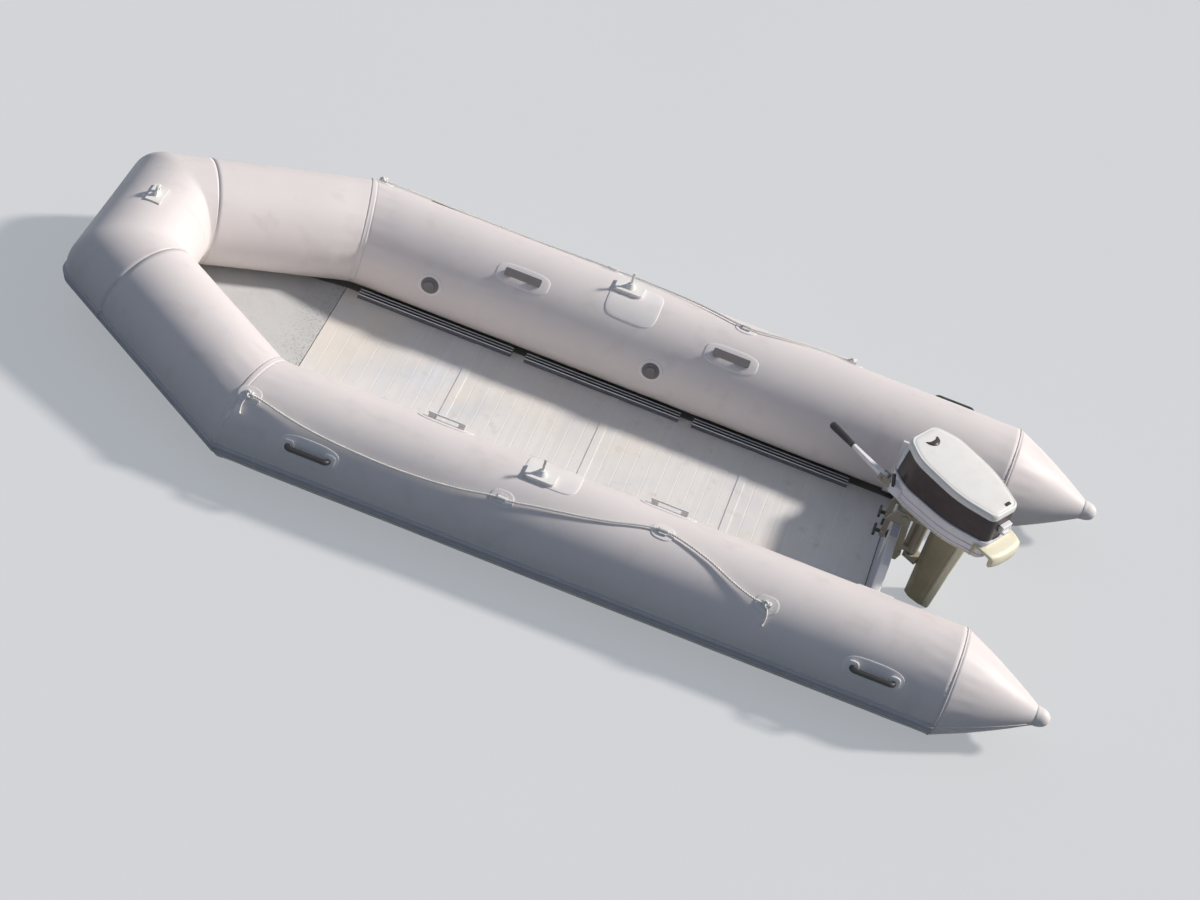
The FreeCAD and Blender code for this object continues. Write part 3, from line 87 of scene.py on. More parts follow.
def add_node(tree, kind, sockets=None, **properties):
    """A shader node whose sockets take values or links."""
    made = tree.nodes.new("ShaderNode" + kind)
    for key, value in properties.items():
        setattr(made, key, value)
    for key, value in (sockets or {}).items():
        if isinstance(value, bpy.types.NodeSocket):
            tree.links.new(value, made.inputs[key])
        else:
            made.inputs[key].default_value = value
    return made


def shown(tree):
    """1 for the rays that show a thing itself, straight, mirrored or through glass, and 0 for its light."""
    rays = add_node(tree, "LightPath")
    seen = rays.outputs["Is Camera Ray"]
    for kind in ("Is Glossy Ray", "Is Transmission Ray"):
        seen = add_node(tree, "Math", {0: seen, 1: rays.outputs[kind]}, operation="MAXIMUM").outputs[0]
    return seen


class Surface:
    """A node material whose colour, roughness and bumps are built up step by step."""

    def __init__(self, name, colour, rough, metal=0.0, specular=0.5):
        self.material = bpy.data.materials.new(name)
        self.material.use_nodes = True
        self.tree = self.material.node_tree
        self.shader = self.tree.nodes["Principled BSDF"]
        self.shader.inputs["Metallic"].default_value = metal
        self.shader.inputs["Specular IOR Level"].default_value = specular
        self.shader.inputs["Roughness"].default_value = rough
        self.rough = rough
        self.colour = rgb(colour)
        self.normal = None
        self.place = self.node("TexCoord").outputs["Object"]

    def node(self, kind, sockets=None, **properties):
        return add_node(self.tree, kind, sockets, **properties)

    def stretched(self, scale):
        return self.node("Mapping", {"Vector": self.place, "Scale": scale}).outputs[0]

    def cloud(self, scale, detail=4.0, stretch=None, distortion=0.0):
        """Soft noise from 0 to 1."""
        where = self.stretched(stretch) if stretch else self.place
        sockets = {"Vector": where, "Scale": scale, "Detail": detail, "Distortion": distortion}
        return self.node("TexNoise", sockets).outputs["Fac"]

    def cells(self, scale, stretch=None):
        where = self.stretched(stretch) if stretch else self.place
        return self.node("TexVoronoi", {"Vector": where, "Scale": scale}).outputs["Distance"]

    def span(self, value, low, high, start=0.0, end=1.0):
        """The value's run from low to high, as start to end."""
        return self.node("MapRange", {0: value, 1: low, 2: high, 3: start, 4: end}).outputs[0]

    def times(self, a, b):
        return self.node("Math", {0: a, 1: b}, operation="MULTIPLY").outputs[0]

    def axis(self, name):
        return self.node("SeparateXYZ", {0: self.place}).outputs[name]

    def edges(self, low=0.51, high=0.56):
        """Where the surface turns outward sharply."""
        return self.span(self.node("NewGeometry").outputs["Pointiness"], low, high)

    def hollows(self):
        """Where the surface turns inward sharply."""
        return self.span(self.node("NewGeometry").outputs["Pointiness"], 0.49, 0.44)

    def tint(self, mask, colour):
        """Mix a colour in where the mask is 1."""
        mixed = self.node("MixRGB", {"Fac": mask, "Color1": self.colour, "Color2": rgb(colour)})
        self.colour = mixed.outputs[0]
        self.tree.links.new(self.colour, self.shader.inputs["Base Color"])

    def roughen(self, mask, rough):
        """Let the roughness run from its present value to rough where the mask is 1."""
        self.rough = self.span(mask, 0.0, 1.0, self.rough, rough)
        self.tree.links.new(self.rough, self.shader.inputs["Roughness"])

    def bump(self, height, distance, strength):
        """Add a bump on top of those before."""
        sockets = {"Height": height, "Distance": distance, "Strength": strength}
        if self.normal is not None:
            sockets["Normal"] = self.normal
        self.normal = self.node("Bump", sockets).outputs[0]
        self.tree.links.new(self.normal, self.shader.inputs["Normal"])


def coated_fabric(name, colour, shade, grime, rough=0.46):
    """Coated boat fabric: faintly clouded, greyed by handling, with a stained waterline; the beige below the
    strake is partly a painted reflection of water.
    """
    s = Surface(name, colour, rough, specular=0.42)
    s.tint(s.span(s.cloud(1.7, 3.0), 0.42, 0.68, 0.0, 0.5), shade)
    s.tint(s.span(s.cloud(9.0, 6.0, (1.0, 1.6, 0.7)), 0.56, 0.74, 0.0, 0.32), grime)
    s.tint(s.span(s.cells(46.0, (1.0, 0.5, 0.5)), 0.06, 0.0, 0.0, 0.25), grime)
    height = s.axis("Z")
    uneven = s.span(s.cloud(5.0, 5.0, (1.0, 1.0, 0.2)), 0.3, 0.7, 0.25, 1.0)
    # Below the strake: waterline staining, and a beige that is partly a painted reflection of the water the
    # boat floats on
    s.tint(s.times(s.span(height, 0.105, -0.01, 0.0, 0.62), uneven), "9d9a86")
    s.tint(s.times(s.span(height, 0.0, -0.05, 0.0, 0.55), uneven), "6f7260")
    s.roughen(s.span(s.cloud(6.0, 4.0), 0.35, 0.7), rough + 0.12)
    s.bump(s.cloud(620.0, 2.0), 0.0003, 0.35)
    s.bump(s.cloud(26.0, 4.0), 0.0016, 0.10)
    return s


def moulded(name, colour, worn, rough, grain=900.0):
    """Moulded rubber or plastic, dusty in patches and worn along its edges."""
    s = Surface(name, colour, rough)
    s.tint(s.span(s.cloud(24.0, 5.0), 0.45, 0.75, 0.0, 0.35), worn)
    s.tint(s.times(s.edges(), 0.5), worn)
    s.roughen(s.span(s.cloud(40.0), 0.3, 0.7), rough + 0.14)
    s.bump(s.cloud(grain, 2.0), 0.0003, 0.4)
    return s


def painted(name, colour, stain, bare, rough):
    """Paint on castings and covers: darkened in the hollows with grime and painted shade, chipped along the
    edges.
    """
    s = Surface(name, colour, rough)
    s.tint(s.span(s.cloud(7.0, 5.0), 0.45, 0.75, 0.0, 0.4), stain)
    s.tint(s.span(s.cloud(30.0, 6.0, (1.0, 1.0, 0.25)), 0.6, 0.78, 0.0, 0.45), stain)
    # Grime and painted shade: the stain colour darkens the hollows, where shade falls
    s.tint(s.times(s.hollows(), 0.7), stain)
    chips = s.times(s.edges(0.53, 0.58), s.span(s.cloud(90.0, 5.0), 0.55, 0.62))
    s.tint(chips, bare)
    s.roughen(s.span(s.cloud(60.0), 0.3, 0.7), rough + 0.16)
    s.bump(s.cloud(420.0, 2.0), 0.0003, 0.22)
    return s


def weathered_metal(name, colour, stain, rough, metal, grain, hollow_shade_and_dirt):
    """Aluminium: drawn along the grain, with dull stains, a few scratches, and its hollows darkened by dirt
    and painted shade.
    """
    s = Surface(name, colour, rough, metal)
    s.tint(s.span(s.cloud(3.2, 6.0, distortion=0.6), 0.48, 0.72, 0.0, 0.55), stain)
    s.tint(s.span(s.cloud(16.0, 6.0), 0.6, 0.76, 0.0, 0.3), "b9a98c")
    scratches = s.span(s.cloud(60.0, 3.0, grain), 0.58, 0.66)
    s.tint(s.times(scratches, 0.3), "f2f2f2")
    # Dirt and painted shade: the hollows are darkened, where shade falls
    s.tint(s.times(s.hollows(), hollow_shade_and_dirt), "6a6660")
    s.roughen(s.span(s.cloud(9.0, 5.0), 0.35, 0.7), rough + 0.2)
    s.bump(scratches, 0.0002, 0.3)
    s.bump(s.cloud(300.0, 2.0, grain), 0.0002, 0.25)
    return s


FINISH = {
    "hull_fabric": coated_fabric("hull_fabric", "ebe3e0", "dfd8d7", "cfc7c1"),
    "bottom_fabric": coated_fabric("bottom_fabric", "8f9196", "7d8086", "62655f", 0.55),
    "patch_fabric": coated_fabric("patch_fabric", "f0ebe9", "e6e0de", "d4cdc7"),
    "strake_rubber": moulded("strake_rubber", "b3b3b8", "cccbcc", 0.52),
    "cap_rubber": moulded("cap_rubber", "f0e9e6", "e2dbd7", 0.5),
    "grey_rubber": moulded("grey_rubber", "767374", "8f8c8c", 0.55),
    "white_plastic": moulded("white_plastic", "f3f1ed", "dedad3", 0.42),
    "black_plastic": moulded("black_plastic", "1b1b1f", "55555a", 0.42),
    "rope": moulded("rope", "fffdf8", "f0ece4", 0.8, 1400.0),
    "floor_metal": weathered_metal("floor_metal", "e9e6e3", "d6d7da", 0.46, 0.12, (1.0, 0.03, 1.0), 0.35),
    "transom_wood": painted("transom_wood", "b9bdc9", "9a9ca6", "8a7a63", 0.45),
    "clamp_paint": painted("clamp_paint", "a39c8c", "6b6255", "c9c9c6", 0.42),
    "cream_paint": painted("cream_paint", "ece7d2", "cfc5a2", "b9b9b5", 0.38),
    "cowl_white": moulded("cowl_white", "f5f3ef", "e6e1d8", 0.28),
    "cowl_grey": moulded("cowl_grey", "efebed", "d8d4da", 0.34),
    "cowl_dark": moulded("cowl_dark", "2e2426", "453a3c", 0.3),
    "engine_metal": painted("engine_metal", "54565b", "33332f", "8a8a88", 0.5),
    "leg_paint": painted("leg_paint", "a0977a", "6f684f", "c9c6b4", 0.42),
    "propeller_paint": painted("propeller_paint", "303236", "51544c", "9a9a98", 0.4),
}
FINISH["bottom_fabric"].shader.inputs["Specular IOR Level"].default_value = 0.35
# Finishes of this scene alone, each with the record's slot that it belongs to
EXTRA = {
    "cowl_trim": ("cowl_white", moulded("cowl_trim", "efeef2", "d9d7dc", 0.32)),
    "cowl_rib": ("cowl_grey", moulded("cowl_rib", "dad6dc", "bfbbc4", 0.34)),
    # Pale cream: the rear lip's own colour, and on the leg's back a painted highlight
    "leg_edge": ("cream_paint", moulded("leg_edge", "f6f0d8", "ded5b2", 0.36)),
    "board_edge": ("white_plastic", moulded("board_edge", "f4f2f2", "dcd8d7", 0.45)),
}
# The floor's boards: cream stains in broad clouds
boards = FINISH["floor_metal"]
boards.tint(boards.span(boards.cloud(1.3, 3.0, (1.0, 1.4, 1.0)), 0.5, 0.66, 0.0, 0.5), "efe5d6")
boards.tint(boards.span(boards.cloud(2.1, 4.0), 0.56, 0.7, 0.0, 0.4), "d8dde6")
# The stringers' open channels: bright top edges over painted shade, the channels darkened below them where
# shade falls
channel = weathered_metal("channel_metal", "f2f2f4", "dcdde0", 0.34, 0.3, (0.03, 1.0, 1.0), 0.2)
channel.tint(channel.span(channel.axis("Z"), 0.0085, 0.005, 0.0, 0.9), "464b55")
bow_grey = painted("bow_grey", "c6c6c5", "b0b1b2", "8d8a84", 0.5)
# The flat grips: grey on the starboard tube, pale on the port one
grips = moulded("grips", "6f6b6b", "858181", 0.55)
grips.tint(grips.span(grips.axis("Y"), -0.05, 0.05), "e6e2de")


# Meshes
def added(name, data):
    """A new object in the scene."""
    thing = bpy.data.objects.new(name, data)
    bpy.context.scene.collection.objects.link(thing)
    return thing


def mesh(name, points, faces, slot, body="root", replaces=(), smooth=True):
    """A piece of the boat from points and faces."""
    data = bpy.data.meshes.new(name)
    data.from_pydata([tuple(p) for p in points], [], faces)
    work = bmesh.new()
    work.from_mesh(data)
    bmesh.ops.recalc_face_normals(work, faces=work.faces)
    work.to_mesh(data)
    work.free()
    data.polygons.foreach_set("use_smooth", [smooth] * len(data.polygons))
    piece = added(name, data)
    slot, finish = EXTRA.get(slot) or (slot, FINISH[slot])
    data.materials.append(finish.material)
    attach(piece, body)
    if replaces:
        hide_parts(*replaces)
    return piece


def rings(loops, closed=False, caps=True):
    """Points and faces over loops of equal length; closed joins the last loop to the first."""
    count = len(loops[0])
    points = [p for loop in loops for p in loop]
    faces = []
    for i in range(len(loops) - (0 if closed else 1)):
        here = i * count
        there = (i + 1) % len(loops) * count
        for k in range(count):
            n = (k + 1) % count
            faces.append((here + k, here + n, there + n, there + k))
    if caps and not closed:
        faces.append(tuple(range(count)))
        faces.append(tuple(range(len(points) - count, len(points))))
    return points, faces


def merged(parts):
    """Several (points, faces) as one."""
    points = []
    faces = []
    for more, loops in parts:
        start = len(points)
        points += more
        faces += [tuple(start + i for i in face) for face in loops]
    return points, faces


def steps(start, end, count):
    return [start + (end - start) * i / count for i in range(count + 1)]


# The tubes' axis: side, quarter, corner and bow
def seam(side):
    return Vector((QUARTER_START, side * TUBE_Y, TUBE_Z))


def corner(side):
    return Vector((BOW_X, side * BOW_HALF, BOW_Z))


def quarter_frame(side):
    """Along the quarter tube to the bow, outward and up."""
    along = (corner(side) - seam(side)).normalized()
    up = Vector((0, -side, 0)).cross(along).normalized() * side
    outward = up.cross(along) * side
    return along, outward, up


def mitre(side):
    return (quarter_frame(side)[0] + X_AXIS).normalized()


BOW_TURN = quarter_frame(1)[0].angle(Vector((0, -1, 0)))
BOW_ARM = TUBE_R + CREASE
BOW_STRAIGHT = BOW_HALF - BOW_ARM * math.tan(BOW_TURN / 2)
QUARTER_LENGTH = (corner(1) - seam(1)).length - BOW_ARM * math.tan(BOW_TURN / 2)
BOW_UP = quarter_frame(1)[2]
BOW_OUT = Y_AXIS.cross(BOW_UP)
BOW_LENGTH = 2 * (BOW_STRAIGHT + BOW_ARM * BOW_TURN)
FACE_REACH = CREASE + 2 * TUBE_R
ROUND_START = math.atan((FACE_REACH - BOW_ROUND) * math.tan(BOW_TURN / 2) / FACE_REACH)


def on_side(side, angle, share, radius=TUBE_R):
    """A point at an angle above the outward side, from 0 at the cone's base to 1 at the mitre."""
    y = side * radius * math.cos(angle)
    z = radius * math.sin(angle)
    normal = mitre(side)
    end = QUARTER_START - (y * normal.y + z * normal.z) / normal.x
    return Vector((CONE_X + share * (end - CONE_X), side * TUBE_Y + y, TUBE_Z + z))


def on_quarter(side, angle, share, radius=TUBE_R):
    """The same on the quarter tube, from 0 at the mitre to 1 at the bow's bend."""
    along, outward, up = quarter_frame(side)
    spoke = outward * (radius * math.cos(angle)) + up * (radius * math.sin(angle))
    normal = mitre(side)
    start = -spoke.dot(normal) / along.dot(normal)
    return seam(side) + spoke + along * (start + share * (QUARTER_LENGTH - start))


def bow_ring(share):
    """(pivot, outward, half-width) round the bow, from 0 where the port corner starts to 1 at the other."""
    travel = (0.5 - share) * BOW_LENGTH
    side = 1 if travel >= 0 else -1
    travel = abs(travel)
    turn = min(BOW_TURN, max(0.0, travel - BOW_STRAIGHT) / BOW_ARM)
    outward = BOW_OUT * math.cos(turn) + Y_AXIS * (side * math.sin(turn))
    pivot = Vector((BOW_X, side * min(travel, BOW_STRAIGHT), BOW_Z)) - BOW_OUT * BOW_ARM
    edge = min(turn, BOW_TURN - turn)
    if edge <= ROUND_START:
        reach = FACE_REACH / math.cos(edge)
    else:
        away = (FACE_REACH - BOW_ROUND) / math.cos(BOW_TURN / 2)
        gap = BOW_TURN / 2 - edge
        reach = away * math.cos(gap) + math.sqrt(BOW_ROUND ** 2 - (away * math.sin(gap)) ** 2)
    return pivot, outward, (reach - CREASE) / 2


def on_bow(angle, share, radius=TUBE_R):
    """A point round the bow, at an angle above the outward side."""
    pivot, outward, half = bow_ring(share)
    across = (half + radius - TUBE_R) * math.cos(angle)
    return pivot + outward * (CREASE + half + across) + BOW_UP * (radius * math.sin(angle))


def bow_shares():
    """Shares along the bow, close together where its corners are rounded."""
    turns = steps(0, ROUND_START, 10) + steps(ROUND_START, BOW_TURN - ROUND_START, 18)[1:]
    turns += steps(BOW_TURN - ROUND_START, BOW_TURN, 10)[1:]
    travels = steps(0, BOW_STRAIGHT, 8)[:-1] + [BOW_STRAIGHT + BOW_ARM * turn for turn in turns]
    half = [travel / BOW_LENGTH for travel in travels]
    return [0.5 - s for s in half[::-1]] + [0.5 + s for s in half[1:]]


def on_cone(side, angle, share, radius=TUBE_R):
    """The same on the stern cone, from 0 at the cap to 1 at the side tube."""
    x = CAP_X + share * (CONE_X - CAP_X)
    grown = radius - TUBE_R
    r = CAP_R + (TUBE_R - CAP_R) * share + 4 * CONE_CROWN * share * (1 - share) + grown
    return Vector((x, side * (TUBE_Y + r * math.cos(angle)), TUBE_Z + r * math.sin(angle)))


AROUND = 96
TURNS = [2 * math.pi * k / AROUND for k in range(AROUND)]


def slack(point, outward, pucker=0.0, angle=0.0):
    """The fabric's point, let in a little unevenly; pucker adds small folds round the tube."""
    dip = 0.0009 + 0.0011 * noise.noise(point * 2.6) + 0.0005 * noise.noise(point * 9.0)
    folds = math.sin(angle * 23 + 2.5 * noise.noise(point * 4.0)) + 0.6 * math.sin(angle * 41 + point.x * 9)
    return point - outward * (dip + pucker * 0.0011 * (1 + folds / 1.6))


def pucker_near(distance):
    """How strongly the fabric puckers at a distance from a seam."""
    return math.exp(-((distance - 0.07) / 0.055) ** 2)


def skin(name, where, shares, seams, replaces):
    """The fabric of one tube: where gives its points, seams the shares along it where it puckers."""
    loops = []
    for share in shares:
        loop = []
        for angle in TURNS:
            point = where(angle, share)
            outward = (where(angle, share, TUBE_R + 0.01) - point).normalized()
            pucker = sum(pucker_near((point - where(angle, s)).length) for s in seams)
            loop.append(slack(point, outward, min(pucker, 1.0), angle))
        loops.append(loop)
    mesh(name, *rings(loops), "hull_fabric", replaces=(replaces,))


def tape(where_a, where_b, rise, half):
    """A glued seam tape's points and faces; where_a runs up to the seam with its share, where_b on from it."""
    sunk, edge, slope = 0.006, 0.002, 0.0004
    loops = []
    for angle in TURNS:
        middle = where_a(angle, 1)
        back = (middle - where_a(angle, 0.95)).normalized()
        ahead = (where_b(angle, 0.05) - where_b(angle, 0)).normalized()
        out = (where_a(angle, 1, TUBE_R + 0.01) - middle).normalized()
        loops.append([
            middle - back * half - out * sunk,
            middle - back * (half - edge) + out * (rise - slope),
            middle - back * half * 0.4 + out * rise,
            middle + out * (rise + slope / 2),
            middle + ahead * half * 0.4 + out * rise,
            middle + ahead * (half - edge) + out * (rise - slope),
            middle + ahead * half - out * sunk,
            middle - out * (sunk + edge),
        ])
    return rings(loops, closed=True)


# Two thin strips run along each cone, between these angles
CONE_STRIPS = ((-0.36, -0.33), (-0.22, -0.19))
# The round moulded cap over the cone's end, with a soft rim: share of its length, and radius over CAP_R
CAP_PROFILE = (
    (-0.26, 1.17), (-0.24, 1.2), (-0.06, 1.14), (0.18, 1.11), (0.42, 1.03),
    (0.63, 0.9), (0.8, 0.71), (0.91, 0.5), (0.975, 0.27), (1.0, 0.04),
)


def cone_strip(where, low, high):
    """A strip's points and faces on a cone."""
    lip, shoulder = 0.006, 0.0022
    section = (
        (low - lip, -0.003), (low, shoulder), ((low + high) / 2, 0.0034),
        (high, shoulder), (high + lip, -0.003),
    )
    loops = []
    for share in steps(0.04, 0.99, 24):
        loops.append([where(angle, share, TUBE_R + rise) for angle, rise in section])
    return rings(loops)


def cap(side):
    """A cone cap's points and faces."""
    loops = []
    for t, r in CAP_PROFILE:
        x = CAP_X - t * (CAP_X - STERN_X)
        r *= CAP_R
        loops.append([Vector((x, side * (TUBE_Y + r * math.cos(a)), TUBE_Z + r * math.sin(a))) for a in TURNS])
    return rings(loops)


skin("bow_skin", on_bow, bow_shares(), (), "bow_tube")
tapes = []
for name, side in SIDES:
    along_side = partial(on_side, side)
    along_quarter = partial(on_quarter, side)
    along_cone = partial(on_cone, side)
    skin("side_skin_" + name, along_side, steps(0, 1, 130), (0, 1), "side_tube_" + name)
    skin("quarter_skin_" + name, along_quarter, steps(0, 1, 34), (0,), "quarter_tube_" + name)
    skin("cone_skin_" + name, along_cone, steps(0, 1, 24), (1,), "cone_" + name)
    tapes.append(tape(along_side, along_quarter, rise=0.0006, half=0.014))
    tapes.append(tape(along_cone, along_side, rise=0.0007, half=0.006))
    tapes += [cone_strip(along_cone, low, high) for low, high in CONE_STRIPS]
caps = [cap(side) for _, side in SIDES]
mesh("seam_tapes", *merged(tapes), "hull_fabric")
mesh("dome_caps", *merged(caps), "cap_rubber", replaces=("cone_caps",))


# Rub strake: a soft web with two ribs and a fine groove along each
STRAKE_ANGLE = math.radians(-16)
STRAKE_HALF = 0.031
RIB = 0.0095
WEB = 0.0042


def strake_angle_on_quarter():
    """Where the side tube's strake meets the mitre, as an angle on the quarter tube."""
    along, outward, up = quarter_frame(1)
    gap = on_side(1, STRAKE_ANGLE, 1) - seam(1)
    return math.atan2(gap.dot(up), gap.dot(outward))


def strake_profile(middle):
    """(angle, radius) points of the strake's section."""
    profile = []
    for t in steps(-1, 1, 36):
        rib = max(0.0, math.cos((abs(t) - 0.5) * math.pi / 0.62))
        groove = 0.0022 * math.exp(-((abs(t) - 0.5) / 0.07) ** 2)
        edge = min(1.0, (1 - abs(t)) / 0.06)
        profile.append((middle + t * STRAKE_HALF / TUBE_R, TUBE_R + edge * (WEB + RIB * rib ** 0.7 - groove)))
    profile.append((middle + STRAKE_HALF / TUBE_R, TUBE_R - 0.004))
    profile.append((middle - STRAKE_HALF / TUBE_R, TUBE_R - 0.004))
    return profile


bow_strake = strake_profile(strake_angle_on_quarter())
side_strake = strake_profile(STRAKE_ANGLE)
bow_parts = [rings([[on_bow(a, s, r) for a, r in bow_strake] for s in bow_shares()])]
for name, side in SIDES:
    loops = [[on_quarter(side, a, s, r) for a, r in bow_strake] for s in steps(0, 1, 12)]
    bow_parts.append(rings(loops))
    loops = [[on_side(side, a, s, r) for a, r in side_strake] for s in steps(0, 1, 40)]
    mesh("strake_" + name, *rings(loops), "strake_rubber", replaces=("rub_strake_" + name,))
mesh("strake_bow", *merged(bow_parts), "strake_rubber", replaces=("rub_strake_bow",))


# Patches: soft-edged ovals of fabric on the side tubes
def on_tube(side, x, angle, above=0.0):
    """A point at X and an angle above the outward side, that far off the tube."""
    r = TUBE_R + above
    return Vector((x, side * (TUBE_Y + r * math.cos(angle)), TUBE_Z + r * math.sin(angle)))


def patch(side, x, angle, length, width, thick, power, spokes=56):
    """A patch's points and faces: rings out from its middle, over its edge and back underneath."""
    middle = math.radians(angle)

    def loop(share, above):
        spots = []
        for k in range(spokes):
            a = 2 * math.pi * k / spokes
            c, s = math.cos(a), math.sin(a)
            r = (abs(c) ** power + abs(s) ** power) ** (-1 / power)
            along = x + share * r * c * length / 2
            around = middle + share * r * s * width / 2 / TUBE_R
            spots.append(on_tube(side, along, around, above))
        return spots

    rows = [loop(share, thick) for share in steps(0.05, 0.97, 7)]
    rows += [loop(0.99, thick * 0.75), loop(1.0, thick * 0.2), loop(1.0, -0.004), loop(0.05, -0.004)]
    return rings(rows)


# As in the part: X along the side tube, and angle above the outward side
EYES = ((1.195, 55), (0.135, 50), (-0.491, 80), (-0.964, 48))
OUTER_HANDLES = ((0.9, 22), (-1.44, 22))
INNER_HANDLES = ((0.462, 127), (-0.479, 127))
VALVES = ((0.824, 172), (-0.18, 172))
HANDLE_LENGTH = 0.17
patches = []
handle_feet = []
valve_rings = []
for name, side in SIDES:
    patches += [patch(side, x, angle, 0.096, 0.072, thick=0.0016, power=2.6) for x, angle in EYES]
    patches += [patch(side, x, angle, 0.25, 0.1, thick=0.0014, power=3.0) for x, angle in OUTER_HANDLES]
    patches += [patch(side, x, angle, 0.236, 0.092, thick=0.0014, power=3.4) for x, angle in INNER_HANDLES]
    patches += [patch(side, -0.012, 104.5, 0.23, 0.206, thick=0.0018, power=4.5)]
    patches += [patch(side, x, angle, 0.105, 0.105, thick=0.0008, power=2) for x, angle in VALVES]
    for x, angle in OUTER_HANDLES:
        for way in (-1, 1):
            foot = x + way * HANDLE_LENGTH / 2
            handle_feet.append(patch(side, foot, angle, 0.05, 0.052, thick=0.0105, power=3.2, spokes=32))
    valve_rings += [patch(side, x, angle, 0.078, 0.078, thick=0.0032, power=2) for x, angle in VALVES]
mesh("patches", *merged(patches), "patch_fabric", replaces=("fabric_patches",))
mesh("handle_feet", *merged(handle_feet), "white_plastic")
mesh("valve_rings", *merged(valve_rings), "grey_rubber")


# Hull bottom: fabric between the tubes, drawn down to the keel
BOTTOM_X = round(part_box("hull_bottom")[0].x, 4)
FLOOR_UNDER = round(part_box("floor_panel_1")[0].z, 4) - 0.0003
FLOOR_FRONT = 1.183
SLOPE = (BOW_Z - TUBE_Z) / (BOW_X - QUARTER_START)
BILGE = -0.036
# X, half-width of the V and the keel's height
BOTTOM = (
    (BOTTOM_X, TUBE_Y, -0.058),
    (0.0, TUBE_Y, -0.122),
    (FLOOR_FRONT, TUBE_Y, -0.1147),
    (1.66, TUBE_Y * 0.6, -0.0464),
    (1.895, TUBE_Y * 0.38, 0.026),
)


def axis_points():
    """Points along the port half of the tubes' axis."""
    spots = [Vector((x, TUBE_Y, TUBE_Z)) for x in steps(CONE_X, QUARTER_START, 60)]
    along = quarter_frame(1)[0]
    spots += [seam(1) + along * (QUARTER_LENGTH * s) for s in steps(0.02, 1, 50)]
    for share in steps(0.0, 0.5, 40):
        pivot, outward, _ = bow_ring(share)
        spots.append(pivot + outward * BOW_ARM)
    return spots


AXIS = axis_points()


def off_tubes(point):
    """Distance from a point on the port side to the tubes' surface, less than 0 inside."""
    best = 9.0
    for a, b in zip(AXIS, AXIS[1:]):
        run = b - a
        t = min(1.0, max(0.0, (point - a).dot(run) / max(run.length_squared, 1e-12)))
        best = min(best, (point - a - run * t).length)
    return best - TUBE_R


def up_to_tube(start, end):
    """The point between start and end that lies a little inside the tubes, or end."""
    inside = -0.003
    low, high = 0.0, 1.0
    if off_tubes(end) > inside:
        return end
    for _ in range(14):
        middle = (low + high) / 2
        if off_tubes(start.lerp(end, middle)) > inside:
            low = middle
        else:
            high = middle
    return start.lerp(end, low)


def bottom_row(x):
    """(half-width, keel height) at X."""
    for (xa, ha, ka), (xb, hb, kb) in zip(BOTTOM, BOTTOM[1:]):
        if x <= xb + 1e-9:
            t = (x - xa) / (xb - xa)
            return ha + (hb - ha) * t, ka + (kb - ka) * t
    return BOTTOM[-1][1:]


def bottom_section(x):
    """A loop round the bottom's section at X: across the V from port to starboard and back over its top."""
    half, keel = bottom_row(x)
    lift = max(0.0, (x - FLOOR_FRONT) * SLOPE)
    edge = up_to_tube(Vector((x, 0, keel)), Vector((x, half, BILGE + lift)))
    rim = up_to_tube(Vector((x, 0, FLOOR_UNDER + lift)), Vector((x, half, FLOOR_UNDER + lift)))
    port = []
    for t in steps(1, 0, 14):
        y = edge.y * t
        billow = 0.007 * math.sin(math.pi * t) * min(1.0, edge.y / 0.3)
        soft = 0.010 * math.exp(-(t / 0.10) ** 2)
        port.append(Vector((x, y, keel + (edge.z - keel) * t - billow + soft)))
    low = port + [Vector((p.x, -p.y, p.z)) for p in port[-2::-1]]
    high = [Vector((x, -rim.y + 2 * rim.y * t, rim.z)) for t in steps(0, 1, 16)]
    return low + high


xs = steps(BOTTOM_X, FLOOR_FRONT, 60) + steps(FLOOR_FRONT, 1.895, 30)[1:]
mesh("bottom_skin", *rings([bottom_section(x) for x in xs]), "bottom_fabric", replaces=("hull_bottom",))


# Floor panels: boards side by side with shallow grooves between them
def panel(name, boards_across=10, groove=0.0024, depth=0.0006):
    """A panel's points and faces, over the place of the CAD panel."""
    low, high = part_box(name)
    pitch = (high.x - low.x) / boards_across
    line = [(low.x, low.z), (low.x, high.z - 0.001), (low.x + 0.001, high.z)]
    for k in range(1, boards_across):
        x = low.x + k * pitch
        crown = 0.00035 * (1 + noise.noise(Vector((x * 7, 0.3, 1.7))))
        line.append((x - pitch * 0.5, high.z - crown))
        for dx, dz in ((-1.0, 0.0), (-0.55, -0.55), (0.0, -1.0), (0.55, -0.55), (1.0, 0.0)):
            line.append((x + dx * groove, high.z + dz * depth))
    line += [(high.x - 0.001, high.z), (high.x, high.z - 0.001), (high.x, low.z)]
    loops = []
    for y in steps(low.y, high.y, 12):
        loops.append([Vector((x, y, z)) for x, z in line])
    return rings(loops)


for k in range(1, 5):
    node = f"floor_panel_{k}"
    mesh("boards_" + str(k), *panel(node), "floor_metal", replaces=(node,), smooth=False)


# Lifelines: laid rope through the eyes, knotted at both ends
ROPE_R = 0.005
ROPE_OFF = 0.009
# X in millimetres and angle of each point, as in the part
ROPE = (
    (1195, 55), (1160, 55), (1085, 50.5), (985, 45.5), (870, 42), (745, 40), (620, 39), (495, 39.6),
    (375, 41.6), (265, 45), (172, 50), (98, 50), (20, 54), (-80, 58), (-185, 62.5), (-290, 68),
    (-380, 75), (-454, 80), (-528, 80), (-610, 75), (-708, 67), (-800, 57), (-880, 50.4), (-930, 48),
    (-964, 48),
)
# The loose end: ahead of the knot in metres, degrees round the tube, and height over it
TAIL = ((0, -1, 0.012), (0.012, -7, 0.009), (0.016, -14, 0.0062), (0.010, -21, 0.0055))


